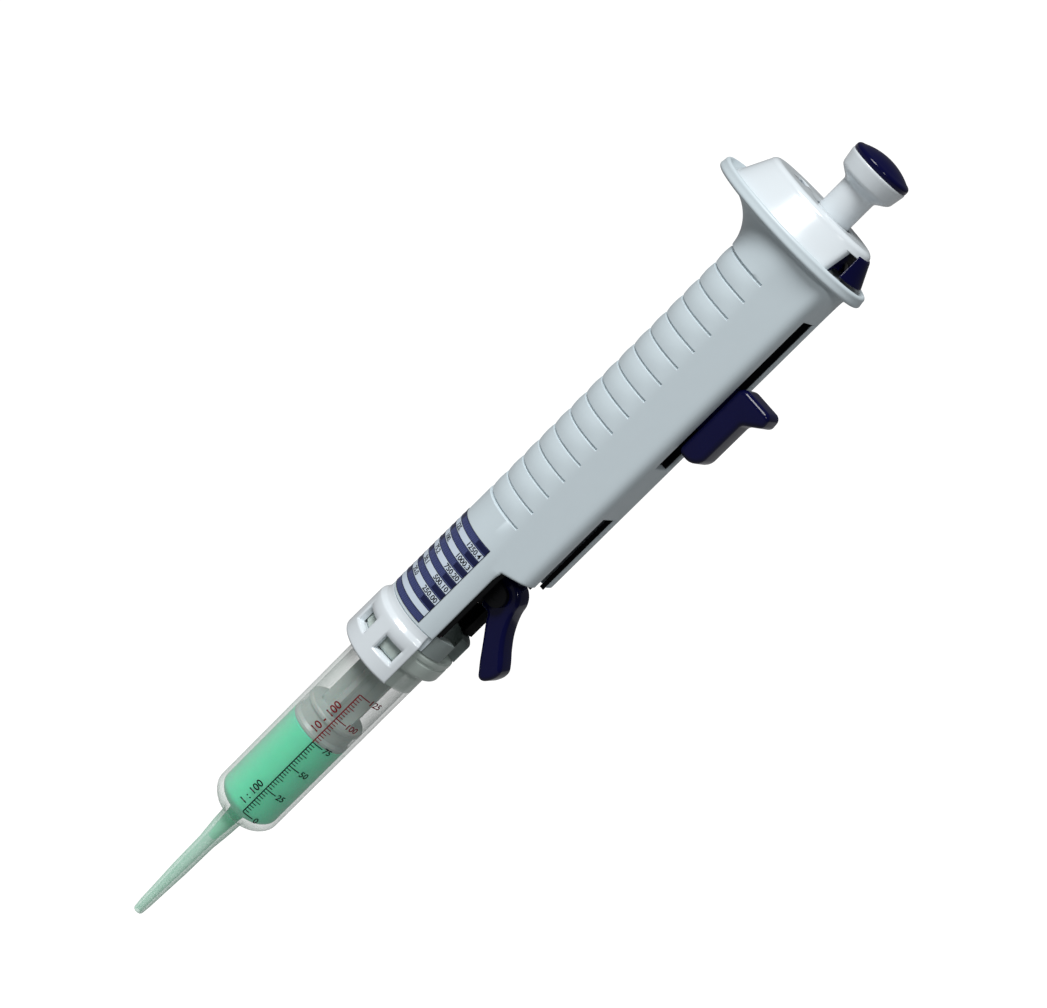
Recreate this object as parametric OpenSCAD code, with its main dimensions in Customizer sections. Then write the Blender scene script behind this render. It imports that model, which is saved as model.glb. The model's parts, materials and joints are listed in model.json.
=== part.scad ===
// Repeating pipette: a hand-held dispenser with a clipped-in syringe.
// Z runs along the instrument, from the nozzle outlet (z = 0) up to the thumb button.
// X points to the front, where the slider, the lever and the selector are. Millimetres.

/* [Syringe] */
// Outside radius of the syringe barrel
barrel_r = 10.55; // [9:0.05:11]
// Wall of the syringe barrel
barrel_wall = 1.1; // [0.8:0.1:1.5]
// Length of the tapered nozzle below the barrel
nozzle_len = 43; // [30:1:60]
// Radius of the outlet bore
outlet_r = 0.9; // [0.6:0.05:1.2]
// Length of the straight outlet bore
outlet_len = 6; // [3:0.5:12]
// Height of the barrel's domed shoulder
barrel_shoulder_h = 5.8; // [4:0.1:8]
// Length of the barrel from the nozzle to the flange ring
barrel_len = 71; // [66:0.5:75]
// Reach of the flange ring beyond the barrel
ring_w = 2.55; // [2.3:0.05:2.6]
// Height of the flange ring
ring_h = 7.4; // [5:0.1:8]

/* [Piston] */
// Height of the piston face above the barrel's shoulder
fill_h = 30.8; // [20:0.1:35]
// Height of the piston with its sealing lips
piston_h = 8; // [5:0.5:12]
// Radial gap between piston lip and barrel
piston_gap = 0.05; // [0.02:0.01:0.1]
// Radius of the ribbed piston rod
rod_r = 6; // [4:0.1:7]
// Radius of the rod's neck inside the gripper
neck_r = 3; // [2.4:0.1:3.4]
// Radius of the rod's knob inside the gripper
rod_knob_r = 4.6; // [4:0.1:5]

/* [Body] */
// Space between the barrel's outside and the body's bore
bore_space = 1.25; // [1.1:0.05:1.6]
// Flare of the lower body at the collar
tail_flare = 0.35; // [0.1:0.05:0.5]
// Bulge of the flat front face beyond the round back
front_bulge = 2.4; // [2:0.1:3.4]
// Radius of the long edges beside the front face
front_edge_r = 4; // [3:0.25:5]
// Half width between the centres of those edges
front_edge_y = 6.1; // [5:0.1:7]
// Wall of the body moulding
wall = 2; // [1.6:0.1:2.2]
// Length of the open trough between the collar and the shoulder
trough_len = 26.9; // [25:0.1:32]
// Slope of the shoulder, in degrees
shoulder_slope = 17; // [5:1:30]
// Half angle of the open trough below the shoulder
trough_half = 52.5; // [48:0.5:56]

/* [Collar] */
// Wall of the collar round the syringe's ring
collar_wall = 2.15; // [1.8:0.05:3]
// Length of the collar below the syringe's ring
collar_skirt = 5.6; // [3:0.1:8]
// Rise of the collar above the syringe's ring
collar_rise = 5.3; // [5:0.1:6]
// Half angle of the collar's front opening
collar_half = 58.7; // [56:0.1:64]
// Width of the square windows
window_w = 6.6; // [4:0.1:8]
// Height of the square windows
window_h = 5.2; // [3:0.1:6]
// Angles of the windows, counted from the front
window_angles = [81, 126.4, 180, 233.6, 279];

/* [Grip] */
// Number of grooves across the back
groove_count = 16; // [6:1:16]
// Distance between grooves
groove_pitch = 6.16; // [5:0.02:6.2]
// Height of the lowest groove above the shoulder
groove_rise = 12.3; // [11:0.1:13]
// Width of a groove
groove_w = 1.1; // [0.6:0.1:1.6]
// Depth of a groove below the body
groove_depth = 0.55; // [0.3:0.05:0.8]
// Fall of each pad towards its two grooves
pad_fall = 0.22; // [0.05:0.01:0.3]

/* [Slots] */
// Half width of both front slots
slot_y = 4.3; // [4.25:0.05:4.8]
// Length of the lower slot above the shoulder
lower_slot_len = 29.6; // [28:0.1:34]
// Closed stretch between the two slots
slot_bridge = 20.1; // [16:0.1:24]
// Length of the upper slot
slot_len = 55.2; // [54:0.1:60]
// Closed stretch between the upper slot and the flange
neck_len = 11.3; // [10:0.1:14]

/* [Flange and head] */
// Reach of the finger flange beyond the body, along x
flange_reach = 13.2; // [12:0.1:15]
// Reach of the finger flange beyond the body, along y
flange_side = 3.8; // [3:0.1:5]
// Centre of the finger flange
flange_x = -5.1; // [-6:0.1:-4]
// Thickness of the finger flange
flange_h = 3.6; // [3:0.1:5]
// Height of the raised lip round the flange
lip_h = 0.5; // [0.2:0.1:0.8]
// Height of the concave sweep under the flange
sweep_h = 12; // [8:0.5:14]
// Step from the flange's rim to the head, along x
head_step_x = 3.4; // [3:0.1:4.4]
// Step from the flange's rim to the head, along y
head_step_y = 2; // [1.6:0.1:2.6]
// Centre of the head
head_x = -4; // [-4.5:0.1:-3.5]
// Height of the head
head_h = 9.1; // [8.5:0.1:10]
// Inward slope of the head's side, in degrees
head_slope = 26.6; // [20:0.2:28]
// Wall of the head
head_wall = 1.4; // [1.2:0.1:1.6]
// Depth of the selector's drum behind the notch in the head
notch_depth = 0.8; // [0.6:0.1:1.4]

/* [Thumb button] */
// Radius of the button's shaft
shaft_r = 5.2; // [4.8:0.05:5.4]
// Radius of the button's rim
button_r = 9.2; // [8:0.1:11]
// Height of the button's flared part
button_h = 7; // [5:0.1:12]
// Height of the button's domed cap
cap_h = 3.9; // [2.5:0.1:5]
// Travel of the button
press = 8; // [6:0.5:8]
// Radius of the push rod
push_rod_r = 2; // [1.6:0.1:2.4]

/* [Filling slider and lever] */
// Travel of the carriage below the stored place
slide_down = 15; // [10:0.5:15]
// Travel of the carriage above the stored place
slide_up = 25; // [20:0.5:25]
// Half width of the slider's finger piece
slider_y = 4.8; // [4.4:0.1:6]
// Drop of the finger piece below its stem
slider_drop = 7.6; // [4:0.1:10]
// Thickness of the slider's finger piece
slider_t = 7.3; // [6:0.1:9]
// Reach of the hook beyond the finger piece
hook_reach = 4.8; // [3:0.1:7]
// Distance of the lever's pivot outside the barrel's bore
pivot_out = 1.05; // [0.8:0.05:1.4]
// Height of the lever's pivot above the gripper's foot
pivot_rise = 5.4; // [5:0.1:6.4]
// Radius of the lever's hub
hub_r = 6; // [5.4:0.1:6.2]
// Length of the lever's arm
arm_len = 20; // [17:0.5:20]
// Swing of the lever from locked to open, in degrees
lever_swing = 50; // [30:1:60]
// Radius of the lever's pin
pin_r = 1.2; // [0.9:0.05:1.5]

/* [Rack and pawl] */
// Distance between rack teeth
tooth_pitch = 1; // [0.8:0.1:2]
// Depth of the rack teeth
tooth_depth = 0.8; // [0.5:0.05:1]
// Distance from the axis to the tips of the teeth
tooth_x = 6; // [5.9:0.05:6.2]
// Depth of the rack bar behind the teeth
bar_t = 3.8; // [3:0.1:4]
// Height of the pawl's pivot above the upper slot's end
pawl_rise = 7.7; // [6:0.1:9]

/* [Fits] */
// Running clearance of a shaft in its bore
run = 0.05; // [0.02:0.01:0.09]
// Clearance between pieces that slide past each other
gap = 0.35; // [0.3:0.01:0.4]
// Clearance between pieces that are fixed together
seat = 0.05; // [0.02:0.01:0.1]

/* [Hidden] */
$fn = 72;
eps = 0.01;

body_grey = "#c9d2d8";
white = "#eceff2";
navy = "#10104a";
dark = "#14161d";
smoke = "#aab8b4";
steel = "#b9bcc0";

// Heights, stacked from the nozzle outlet to the thumb button
ring_z = nozzle_len + barrel_len;
ring_top = ring_z + ring_h;
piston_z = nozzle_len + barrel_shoulder_h + fill_h;
collar_z = ring_z - collar_skirt;
collar_top_z = ring_top + collar_rise;
housing_z = ring_top + 0.5;
latch_top = collar_top_z + 1.3;
shoulder_z = collar_top_z + trough_len;
groove_z = shoulder_z + groove_rise;
lower_slot_high = shoulder_z + lower_slot_len;
slot_low = lower_slot_high + slot_bridge;
slot_high = slot_low + slot_len;
flange_z = slot_high + neck_len;
body_top = flange_z - 2;
deck_z = flange_z - 1.8;
deck_top = flange_z + flange_h - 0.2;
head_z = deck_top + 0.2;
head_top = head_z + head_h;
neck_z = head_top + press + 1.4;
button_z = neck_z + button_h;
pawl_z = slot_low + pawl_rise;

// Radii and reaches, counted from the axis
barrel_bore = barrel_r - barrel_wall;
ring_r = barrel_r + ring_w;
bore_r = barrel_r + bore_space;
back_r = bore_r + wall - 0.1;
tail_r = back_r + tail_flare;
front_x = back_r + front_bulge;
spigot_r = ring_r + gap - seat;
collar_bore = spigot_r + seat;
collar_r = collar_bore + collar_wall;
flange_a = back_r + flange_reach;
flange_b = back_r + flange_side;
head_a = flange_a - head_step_x;
head_b = flange_b - head_step_y;
dial_low_r = head_b - head_wall - 1.5;
notch_x = dial_low_r - notch_depth;
bush_r = shaft_r + 1.8;
pivot_x = barrel_bore + pivot_out;
lever_y = slot_y - 0.4;
stem_y = slot_y - 1;
bar_y = stem_y + seat;

// Outline that wraps a back circle and two front edges: tangents join exact arcs.
module wrap(r, ex, ey, er) {
  d = norm([ex, ey]);
  a = atan2(ey, ex) + acos((r - er) / d);
  back = r * [cos(a), sin(a)];
  edge = [ex + er * cos(a), ey + er * sin(a)];
  circle(r);
  for (s = [-1, 1]) translate([ex, s * ey]) circle(er);
  polygon([back, edge, [ex, ey], [ex + er, ey], [ex + er, -ey], [ex, -ey],
    [edge.x, -edge.y], [back.x, -back.y]]);
}

// Angle at which the round back meets the flat side.
side_angle = atan2(front_edge_y, front_x - front_edge_r)
  + acos((back_r - front_edge_r) / norm([front_x - front_edge_r, front_edge_y]));

module body_outline(inset) {
  wrap(back_r - inset, front_x - front_edge_r, front_edge_y, front_edge_r - inset);
}

// Distance from the axis to the body outline in direction a.
function body_reach(a) =
  let (ex = front_x - front_edge_r, ey = front_edge_y, t = abs(a > 180 ? a - 360 : a),
    nx = cos(side_angle), ny = sin(side_angle), edge_end = atan2(ey + front_edge_r * ny, ex + front_edge_r * nx),
    front_end = atan2(ey, front_x), u = ex * cos(t) + ey * sin(t), v = ex * sin(t) - ey * cos(t))
  t >= side_angle ? back_r
    : t >= edge_end ? back_r / cos(t - side_angle)
    : t >= front_end ? u + sqrt(front_edge_r ^ 2 - v ^ 2)
    : front_x / cos(t);

// Distance from the axis to an ellipse with its centre on the x axis.
function oval_reach(t, a, b, cx) =
  let (p = (cos(t) / a) ^ 2 + (sin(t) / b) ^ 2, q = cos(t) * cx / a ^ 2, s = (cx / a) ^ 2 - 1)
  (q + sqrt(q ^ 2 - p * s)) / p;

// Solid skinned through rings of points, each ring at its own height.
module skin(rings) {
  n = len(rings[0]);
  m = len(rings);
  polyhedron(
    points = [for (ring = rings) each ring],
    faces = concat([[for (i = [0:n - 1]) i]],
      [for (j = [0:m - 2]) for (i = [0:n - 1]) each let (k = (i + 1) % n)
        [[j * n + i, (j + 1) * n + i, (j + 1) * n + k], [j * n + i, (j + 1) * n + k, j * n + k]]],
      [[for (i = [n - 1:-1:0]) (m - 1) * n + i]]));
}

loft_n = 56;
function polar_ring(z, f) = [for (i = [0:loft_n - 1]) let (t = 360 * i / loft_n) [f(t) * cos(t), f(t) * sin(t), z]];
function flange_ring(z, inset) = polar_ring(z, function (t) oval_reach(t, flange_a - inset, flange_b - inset, flange_x));
function sweep_ring(z, s) = polar_ring(z, function (t)
  (body_reach(t) + 0.04) * (1 - s)
    + s * max(oval_reach(t, flange_a - 3, flange_b - 1.8, flange_x), body_reach(t) + 0.2));
function head_ring(z, inset) = polar_ring(z, function (t) oval_reach(t, head_a - inset, head_b - inset, head_x));

module flange_and_sweep() {
  sweep_z = flange_z - sweep_h;
  steps = 7;
  edge = flange_h / 2;
  skin(concat(
    [polar_ring(sweep_z - 1, function (t) body_reach(t) - 0.4)],
    [for (i = [0:steps]) let (u = i / steps * 90) sweep_ring(sweep_z + sweep_h * sin(u), 1 - cos(u))],
    [for (i = [0:5]) let (u = -90 + 36 * i) flange_ring(flange_z + edge + edge * sin(u), 1.2 * (1 - cos(u)))],
    [flange_ring(flange_z + flange_h - lip_h, 2.4)]));
}

module ring_sector(r_in, r_out, h, from, to) {
  rotate([0, 0, from]) rotate_extrude(angle = to - from) translate([r_in, 0]) square([r_out - r_in, h]);
}

module grip_cut() {
  top = groove_z + (groove_count - 1) * groove_pitch;
  half = groove_w / 2;
  rotate([0, 0, side_angle]) rotate_extrude(angle = 360 - 2 * side_angle)
    polygon(concat([[back_r + 1, groove_z - half]],
      [for (i = [0:groove_count - 1]) let (z = groove_z + i * groove_pitch)
        each concat([[back_r - (i == 0 ? 0 : pad_fall), z - half], [back_r - groove_depth, z],
          [back_r - (i == groove_count - 1 ? 0 : pad_fall), z + half]],
          i == groove_count - 1 ? [] : [for (u = [0.25, 0.5, 0.75])
            [back_r - pad_fall * (2 * u - 1) ^ 2, z + half + u * (groove_pitch - groove_w)]])],
      [[back_r + 1, top + half]]));
}

module shoulder_cut() {
  x0 = bore_r * cos(trough_half) + 0.7;
  round_r = 2.5;
  x1 = front_x - round_r;
  z1 = shoulder_z + (x1 - x0) * tan(shoulder_slope);
  rotate([90, 0, 0]) translate([0, 0, -30]) linear_extrude(60)
    polygon(concat([[x0, collar_top_z], [x0, shoulder_z]],
      [for (u = [-90 + shoulder_slope:15:0]) [x1 + round_r * cos(u), z1 + round_r * (1 + sin(u))]],
      [[front_x, z1 + round_r + eps], [front_x + 5, z1 + round_r + eps], [front_x + 5, collar_top_z]]));
}

// One-piece moulding: round tail, ribbed grip, swept finger flange.
module housing() {
  color(body_grey) difference() {
    union() {
      translate([0, 0, housing_z]) cylinder(r = spigot_r, h = collar_top_z - housing_z + eps);
      translate([0, 0, collar_top_z]) cylinder(r1 = tail_r, r2 = back_r, h = groove_z - 2 - collar_top_z);
      translate([0, 0, shoulder_z - 3]) linear_extrude(body_top - shoulder_z + 3) body_outline(0);
      flange_and_sweep();
    }
    translate([0, 0, housing_z - 1]) cylinder(r = bore_r, h = deck_z - housing_z + 1);
    translate([0, 0, shoulder_z - 4]) linear_extrude(frame_top - shoulder_z + 4) body_outline(wall);
    rotate([0, 0, -trough_half]) rotate_extrude(angle = 2 * trough_half)
      translate([bore_r - 1, housing_z - 1]) square([6, shoulder_z - housing_z + 1]);
    shoulder_cut();
    translate([bore_r - 1, -slot_y, slot_low]) cube([9, 2 * slot_y, slot_high - slot_low]);
    translate([bore_r - 1, -slot_y, collar_top_z]) cube([9, 2 * slot_y, lower_slot_high - collar_top_z]);
    grip_cut();
    translate([0, 0, deck_z - 1]) cylinder(r = bush_r + seat, h = 12);
    frame_screw_places() {
      translate([0, 0, deck_z - 1]) cylinder(r = screw_r + seat, h = 12);
      translate([0, 0, deck_top - 1.5]) cylinder(r = screw_head_r + 0.2, h = 4);
    }
    rotate([0, 0, detent_angle]) translate([detent_r, 0, deck_z + 0.8]) cylinder(r = ball_r + seat, h = 8);
    cover_tab_places() translate([0, 0, flange_z + 1.6]) cube([2.6, 5.6, 8], center = true);
  }
}

// Open ring that takes the syringe's flange, with square windows.
module syringe_collar() {
  color(white) difference() {
    rotate([0, 0, collar_half]) rotate_extrude(angle = 360 - 2 * collar_half)
      polygon([[barrel_r + gap, collar_z], [collar_r - 0.5, collar_z], [collar_r, collar_z + 0.6],
        [collar_r - 0.15, collar_top_z - 4.6], [collar_r - 0.35, collar_top_z - 3.7],
        [tail_r + 0.4, collar_top_z - 2.6], [tail_r + 0.05, collar_top_z - 1.2],
        [tail_r, collar_top_z - seat], [collar_bore, collar_top_z - seat],
        [collar_bore, ring_z - 0.2], [barrel_r + gap, ring_z - 0.2]]);
    for (a = window_angles) rotate([0, 0, a])
      translate([collar_bore - 1, -window_w / 2, ring_z - 0.35]) cube([5, window_w, window_h]);
  }
}

module wedge(half) {
  polygon([[0, 0], [30 * cos(half), -30 * sin(half)], [30 * cos(half), 30 * sin(half)]]);
}
// Grey clip above the syringe's flange: two cheeks stand in the open trough.
module syringe_latch() {
  notch_y = lever_y + 0.7;
  color(smoke) translate([0, 0, ring_top + 0.2]) linear_extrude(latch_top - ring_top - 0.2) difference() {
    union() {
      circle(bore_r - 0.1);
      intersection() {
        circle(ring_r);
        wedge(trough_half - 1);
      }
    }
    circle(barrel_bore + 0.9);
    translate([0, -notch_y]) square([20, 2 * notch_y]);
  }
}

frame_r = bore_r - 0.1;
frame_in = frame_r - 1.7;
frame_low = latch_top + 0.3;
frame_split = lower_slot_high + 6.8;
frame_top = slot_high + 3.5;
bulkhead_z = pawl_z + 11;
bulkhead_h = 3;
liner_y = stem_y + gap;
liner_t = slot_y - liner_y - seat;
frame_open = 42;
channel_half = 20;

// Dark moulding inside the body: guide tube, slot lining, spring seat and top ring.
module inner_frame() {
  color(dark) difference() {
    union() {
      difference() {
        translate([0, 0, frame_low]) cylinder(r = frame_r, h = deck_z - 0.1 - frame_low);
        translate([0, 0, frame_low - 1]) cylinder(r = frame_in, h = bulkhead_z - frame_low + 1);
        translate([0, 0, bulkhead_z + bulkhead_h]) cylinder(r = frame_in, h = frame_top - bulkhead_z - bulkhead_h);
        translate([0, 0, frame_low - 1])
          ring_sector(frame_in - 0.5, frame_r + 1, frame_split - frame_low + 1, -frame_open, frame_open);
        translate([0, 0, frame_split - 1])
          ring_sector(frame_in - 0.5, frame_r + 1, frame_top - frame_split + 1, -channel_half, channel_half);
      }
      for (s = [0, 1]) mirror([0, s, 0]) translate([0, 0, frame_low])
        ring_sector(frame_in + 0.3, tail_r - 0.45, shoulder_z - 1 - frame_low, trough_half - 4, trough_half - 0.3);
      for (s = [-1, 1]) {
        translate([frame_in - 0.6, s * (liner_y + liner_t / 2) - liner_t / 2, frame_split])
          cube([front_x - wall - 0.1 - frame_in + 0.6, liner_t, frame_top - frame_split - 0.1]);
        translate([frame_in, s * (liner_y + liner_t / 2) - liner_t / 2, slot_low + 0.1])
          cube([front_x - 0.5 - frame_in, liner_t, slot_high - slot_low - 0.2]);
      }
    }
    translate([tooth_x - gap, -bar_y - gap, bulkhead_z - 1]) cube([12, 2 * bar_y + 2 * gap, bulkhead_h + 2]);
    translate([0, 0, bulkhead_z - 1]) cylinder(r = push_rod_r + run, h = bulkhead_h + 2);
    translate([0, 0, frame_top - 1]) cylinder(r = bush_r + 0.6, h = 12);
    frame_screw_places() translate([0, 0, frame_top - 1]) cylinder(r = screw_r + seat, h = 12);
  }
}

screw_r = 1;
screw_head_r = 1.8;
screw_circle = bush_r + 2.8;
module frame_screw_places() {
  for (a = [55, 180, 305]) rotate([0, 0, a]) translate([screw_circle, 0, 0]) children();
}
module frame_screws() {
  color(steel) frame_screw_places() {
    translate([0, 0, frame_top + 0.5]) cylinder(r = screw_r, h = deck_top - 1.4 - frame_top - 0.5);
    difference() {
      translate([0, 0, deck_top - 1.5]) cylinder(r = screw_head_r, h = 1.2);
      translate([-2, -0.25, deck_top - 0.8]) cube([4, 0.5, 1]);
    }
  }
}

cover_window_top = head_top - 1.3;
function head_inset(z) = (z - head_z) * tan(head_slope);
module cover_tab_places() {
  for (s = [-1, 1]) translate([head_x - 9, s * (head_b - 3.3), 0]) rotate([0, 0, 90]) children();
}

// Tapered oval cover with the selector's window, snapped onto the deck.
module head_cover() {
  round_h = 1.1;
  side_top = head_top - round_h;
  color(white) difference() {
    union() {
      difference() {
        skin(concat([head_ring(head_z, 0), head_ring(side_top, head_inset(side_top))],
          [for (u = [22:22:88]) head_ring(side_top + round_h * sin(u),
            head_inset(side_top) + round_h * (1 - cos(u)) + 0.3 * sin(u))]));
        skin([head_ring(head_z - eps, head_wall), head_ring(head_top - head_wall,
          head_wall + head_inset(head_top - head_wall))]);
      }
      cover_tab_places() translate([0, 0, head_z]) cube([2, 5, 2.6], center = true);
    }
    translate([notch_x, -20, head_z - 1]) cube([20, 40, cover_window_top - head_z + 1]);
    translate([0, 0, head_z]) cylinder(r = shaft_r + 0.4, h = 20);
    translate([dial_window_x, 0, head_top - 3]) dial_window_outline(seat, 6);
  }
}

dial_window_x = -bush_r - 5.4;
module dial_window_outline(grow, h) {
  hull() for (s = [-1, 1]) translate([0, s * 1.1, 0]) cylinder(r = 1.25 + grow, h = h, $fn = 32);
}
// Clear window over the figures of the selector.
module dial_window() {
  color([0.8, 0.85, 0.9, 0.5]) translate([dial_window_x, 0, head_top - head_wall])
    dial_window_outline(0, head_wall - 0.35);
}

dial_z = head_z + 0.6;
dial_top = head_top - head_wall - gap;
dial_step = 8;
// Selector drum; its curved nose fills the notch in the head.
module selector_dial() {
  top_r = dial_low_r - (dial_top - dial_z) * tan(head_slope);
  nose_top = cover_window_top - gap;
  nose_low = head_x + head_a - 0.6;
  nose_r = head_b - 4.5;
  swing = 2 * dial_step;
  back = (notch_x + gap) / cos(swing);
  color(navy) difference() {
    union() {
      rotate_extrude() polygon([[bush_r + run, dial_z], [dial_low_r, dial_z], [dial_low_r, dial_z + 0.6],
        [top_r, dial_top], [bush_r + run, dial_top]]);
      translate([8, -2.9, dial_z]) cube([back - 7, 5.8, 3]);
      intersection() {
        translate([nose_low - nose_r, 0, dial_z])
          cylinder(r1 = nose_r, r2 = nose_r - (nose_top - dial_z) * tan(head_slope), h = nose_top - dial_z);
        translate([back, 0, dial_z - 1]) linear_extrude(20)
          polygon([[0, 0], [20 * tan(swing), -20], [30, -20], [30, 20], [20 * tan(swing), 20]]);
      }
    }
    translate([0, 0, dial_z - 1]) rotate([0, 0, detent_angle - 2 * dial_step - 6])
      rotate_extrude(angle = 4 * dial_step + 12) translate([detent_r - 1.3, 0]) square([2.6, 1.7]);
  }
}

ball_r = 1.1;
detent_r = bush_r + 2.6;
detent_angle = 120;
// Ball that clicks into the selector's underside.
module detent_ball() {
  color(steel) rotate([0, 0, detent_angle]) translate([detent_r, 0, dial_z - 0.75]) sphere(r = ball_r);
}
module detent_spring() {
  coil(detent_r, deck_z + 1.0, dial_z - 0.75 - ball_r - deck_z - 1.0 - 0.05, 0.75, 0.14, 4, detent_angle);
}

// Helical spring: a round wire swept along a helix.
module coil(offset, z0, h, r, wire, turns, a = 0) {
  per_turn = 12;
  sides = 6;
  n = turns * per_turn;
  span = h - 2 * wire;
  color(steel) rotate([0, 0, a]) translate([offset, 0, z0 + wire])
    polyhedron(
      points = [for (i = [0:n]) let (t = 360 * i / per_turn) for (k = [0:sides - 1]) let (u = 360 * k / sides)
        [(r + wire * cos(u)) * cos(t), (r + wire * cos(u)) * sin(t), span * i / n + wire * sin(u)]],
      faces = concat([[for (k = [0:sides - 1]) k]],
        [for (i = [0:n - 1]) for (k = [0:sides - 1]) let (m = (k + 1) % sides)
          each [[i * sides + k, (i + 1) * sides + k, (i + 1) * sides + m],
            [i * sides + k, (i + 1) * sides + m, i * sides + m]]],
        [[for (k = [sides - 1:-1:0]) n * sides + k]]));
}

bush_low = frame_top + 0.2;
bush_top = dial_top - 0.4;
// Flanged bush: the button's shaft runs in it and the selector turns on it.
module plunger_bush() {
  color(steel) difference() {
    union() {
      translate([0, 0, bush_low]) cylinder(r = bush_r, h = bush_top - bush_low);
      translate([0, 0, deck_top - lip_h + 0.3]) cylinder(r = bush_r + 1.4, h = dial_z - deck_top + lip_h - 0.6);
    }
    translate([0, 0, bush_low - 1]) cylinder(r = shaft_r + run, h = 30);
  }
}

shaft_low = frame_top - 6;
clip_z = bush_low - 0.3 - 1.1;
// Hollow thumb button on its shaft.
module plunger_button() {
  color(white) difference() {
    rotate_extrude() polygon([[0, shaft_low], [shaft_r - 0.5, shaft_low], [shaft_r, shaft_low + 0.5],
      [shaft_r, clip_z - 0.1], [shaft_r - 0.9, clip_z - 0.1], [shaft_r - 0.9, clip_z + 1.1], [shaft_r, clip_z + 1.1],
      [shaft_r, neck_z - 0.3], [shaft_r + 0.5, neck_z + 0.2], [button_r - 1.3, neck_z + 1.7],
      [button_r - 0.7, neck_z + 2.3], [button_r, button_z - 0.5], [button_r - 0.1, button_z], [0, button_z]]);
    translate([0, 0, shaft_low - 1]) cylinder(r = push_rod_r + seat, h = button_z - 3 - shaft_low + 1);
    translate([0, 0, button_z - 1.5]) cylinder(r = button_r - 1.7, h = 3);
  }
}

// Domed cap pressed into the button.
module button_cap() {
  cap_r = button_r - 0.1;
  edge = 1.1;
  dome = cap_h - edge - 0.9;
  dome_r = ((cap_r - edge) ^ 2 + dome ^ 2) / (2 * dome);
  color(navy) rotate_extrude() polygon(concat(
    [[0, button_z - 1.45], [button_r - 1.75, button_z - 1.45], [button_r - 1.75, button_z + seat],
      [cap_r, button_z + seat]],
    [for (u = [0:30:60]) [cap_r - edge + edge * cos(u), button_z + 0.9 + edge * sin(u)]],
    [for (s = [1:-0.2:0]) let (x = (cap_r - edge) * s)
      [x, button_z + cap_h - dome_r + sqrt(dome_r ^ 2 - x ^ 2)]]));
}

rod_low = pawl_z + 2.6;
module push_rod() {
  color(steel) translate([0, 0, rod_low]) cylinder(r = push_rod_r, h = button_z - 3.2 - rod_low);
}

// Open clip in the shaft's groove: it stops the button under the bush.
module retaining_clip() {
  mouth = 35;
  color(steel) translate([0, 0, clip_z]) ring_sector(shaft_r - 0.85, shaft_r + 1.1, 1, mouth, 360 - mouth);
}

module return_spring() {
  coil(0, bulkhead_z + bulkhead_h + 0.05, shaft_low - bulkhead_z - bulkhead_h - 0.1,
    shaft_r - 1.8, 0.45, 9);
}

carrier_y = 3.2;
pawl_y = 1.2;
// Block on the end of the push rod that carries the pawl.
module pawl_carrier() {
  color(dark) difference() {
    translate([-4.5, -carrier_y, pawl_z - 5]) cube([tooth_x + 2.4, 2 * carrier_y, 11]);
    translate([-1, -pawl_y - gap, pawl_z - 6]) cube([8, 2 * (pawl_y + gap), 8.6]);
    translate([0, 0, rod_low - seat]) cylinder(r = push_rod_r + seat, h = 20);
    translate([pawl_pin_x, 0, pawl_z]) rotate([90, 0, 0]) cylinder(r = 0.8 + seat, h = 20, center = true);
  }
}

pawl_pin_x = tooth_x - 4.6;
pawl_gap = 0.65;
// Pawl with one tooth, held just clear of the rack.
module pawl() {
  tip = [tooth_x - pawl_gap, pawl_z - 8];
  color(steel) difference() {
    rotate([90, 0, 0]) translate([0, 0, -pawl_y]) linear_extrude(2 * pawl_y) {
      translate([pawl_pin_x, pawl_z]) circle(2);
      polygon([[pawl_pin_x - 1.9, pawl_z - 0.6], [tip.x - 1.9, tip.y - 0.3], tip, [tip.x, tip.y + 0.5],
        [tip.x - 0.7, tip.y + 1.6], [pawl_pin_x + 1.9, pawl_z + 0.6]]);
    }
    translate([pawl_pin_x, 0, pawl_z]) rotate([90, 0, 0]) cylinder(r = 0.8 + run, h = 20, center = true);
  }
}

module pawl_pin() {
  color(steel) translate([pawl_pin_x, 0, pawl_z]) rotate([90, 0, 0]) cylinder(r = 0.8, h = 2 * carrier_y - 0.2, center = true);
}

// Leaf spring behind the pawl.
module pawl_spring() {
  color(steel) rotate([90, 0, 0]) translate([0, 0, -pawl_y + 0.2]) linear_extrude(2 * pawl_y - 0.4)
    polygon([[-0.95, pawl_z + 2.4], [-0.95, pawl_z - 4.5], [-0.4, pawl_z - 6.6], [-0.15, pawl_z - 6.5],
      [-0.7, pawl_z - 4.4], [-0.7, pawl_z + 2.4]]);
}

bar_low = shoulder_z + 4.4;
bar_high = slot_high - slide_up + 2.5;
rack_low = pawl_z - 8 - slide_up - press - 3;
rack_high = pawl_z - 8 + slide_down + 4;
// Toothed bar behind the front slots: it ties the slider to the gripper.
module rack_bar() {
  back = tooth_x + tooth_depth;
  teeth = floor((rack_high - rack_low) / tooth_pitch);
  color(navy) difference() {
    rotate([90, 0, 0]) translate([0, 0, -bar_y]) linear_extrude(2 * bar_y)
      polygon(concat([[back, bar_low], [back + bar_t, bar_low], [back + bar_t, bar_high], [back, bar_high]],
        [for (i = [teeth - 1:-1:0]) let (z = rack_low + i * tooth_pitch)
          each [[back, z + tooth_pitch], [tooth_x, z + 0.12 * tooth_pitch], [back, z]]]));
    slider_screw_places() cylinder(r = 0.9 + seat, h = 30, center = true);
  }
}

stem_low = slot_low + slide_down + 0.3;
stem_high = slot_high - slide_up - 0.3;
slider_z = stem_low - slider_drop;
module slider_screw_places() {
  for (z = [stem_low + 5, stem_high - 2.6]) translate([tooth_x + tooth_depth, 0, z]) rotate([0, 90, 0]) children();
}

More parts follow.
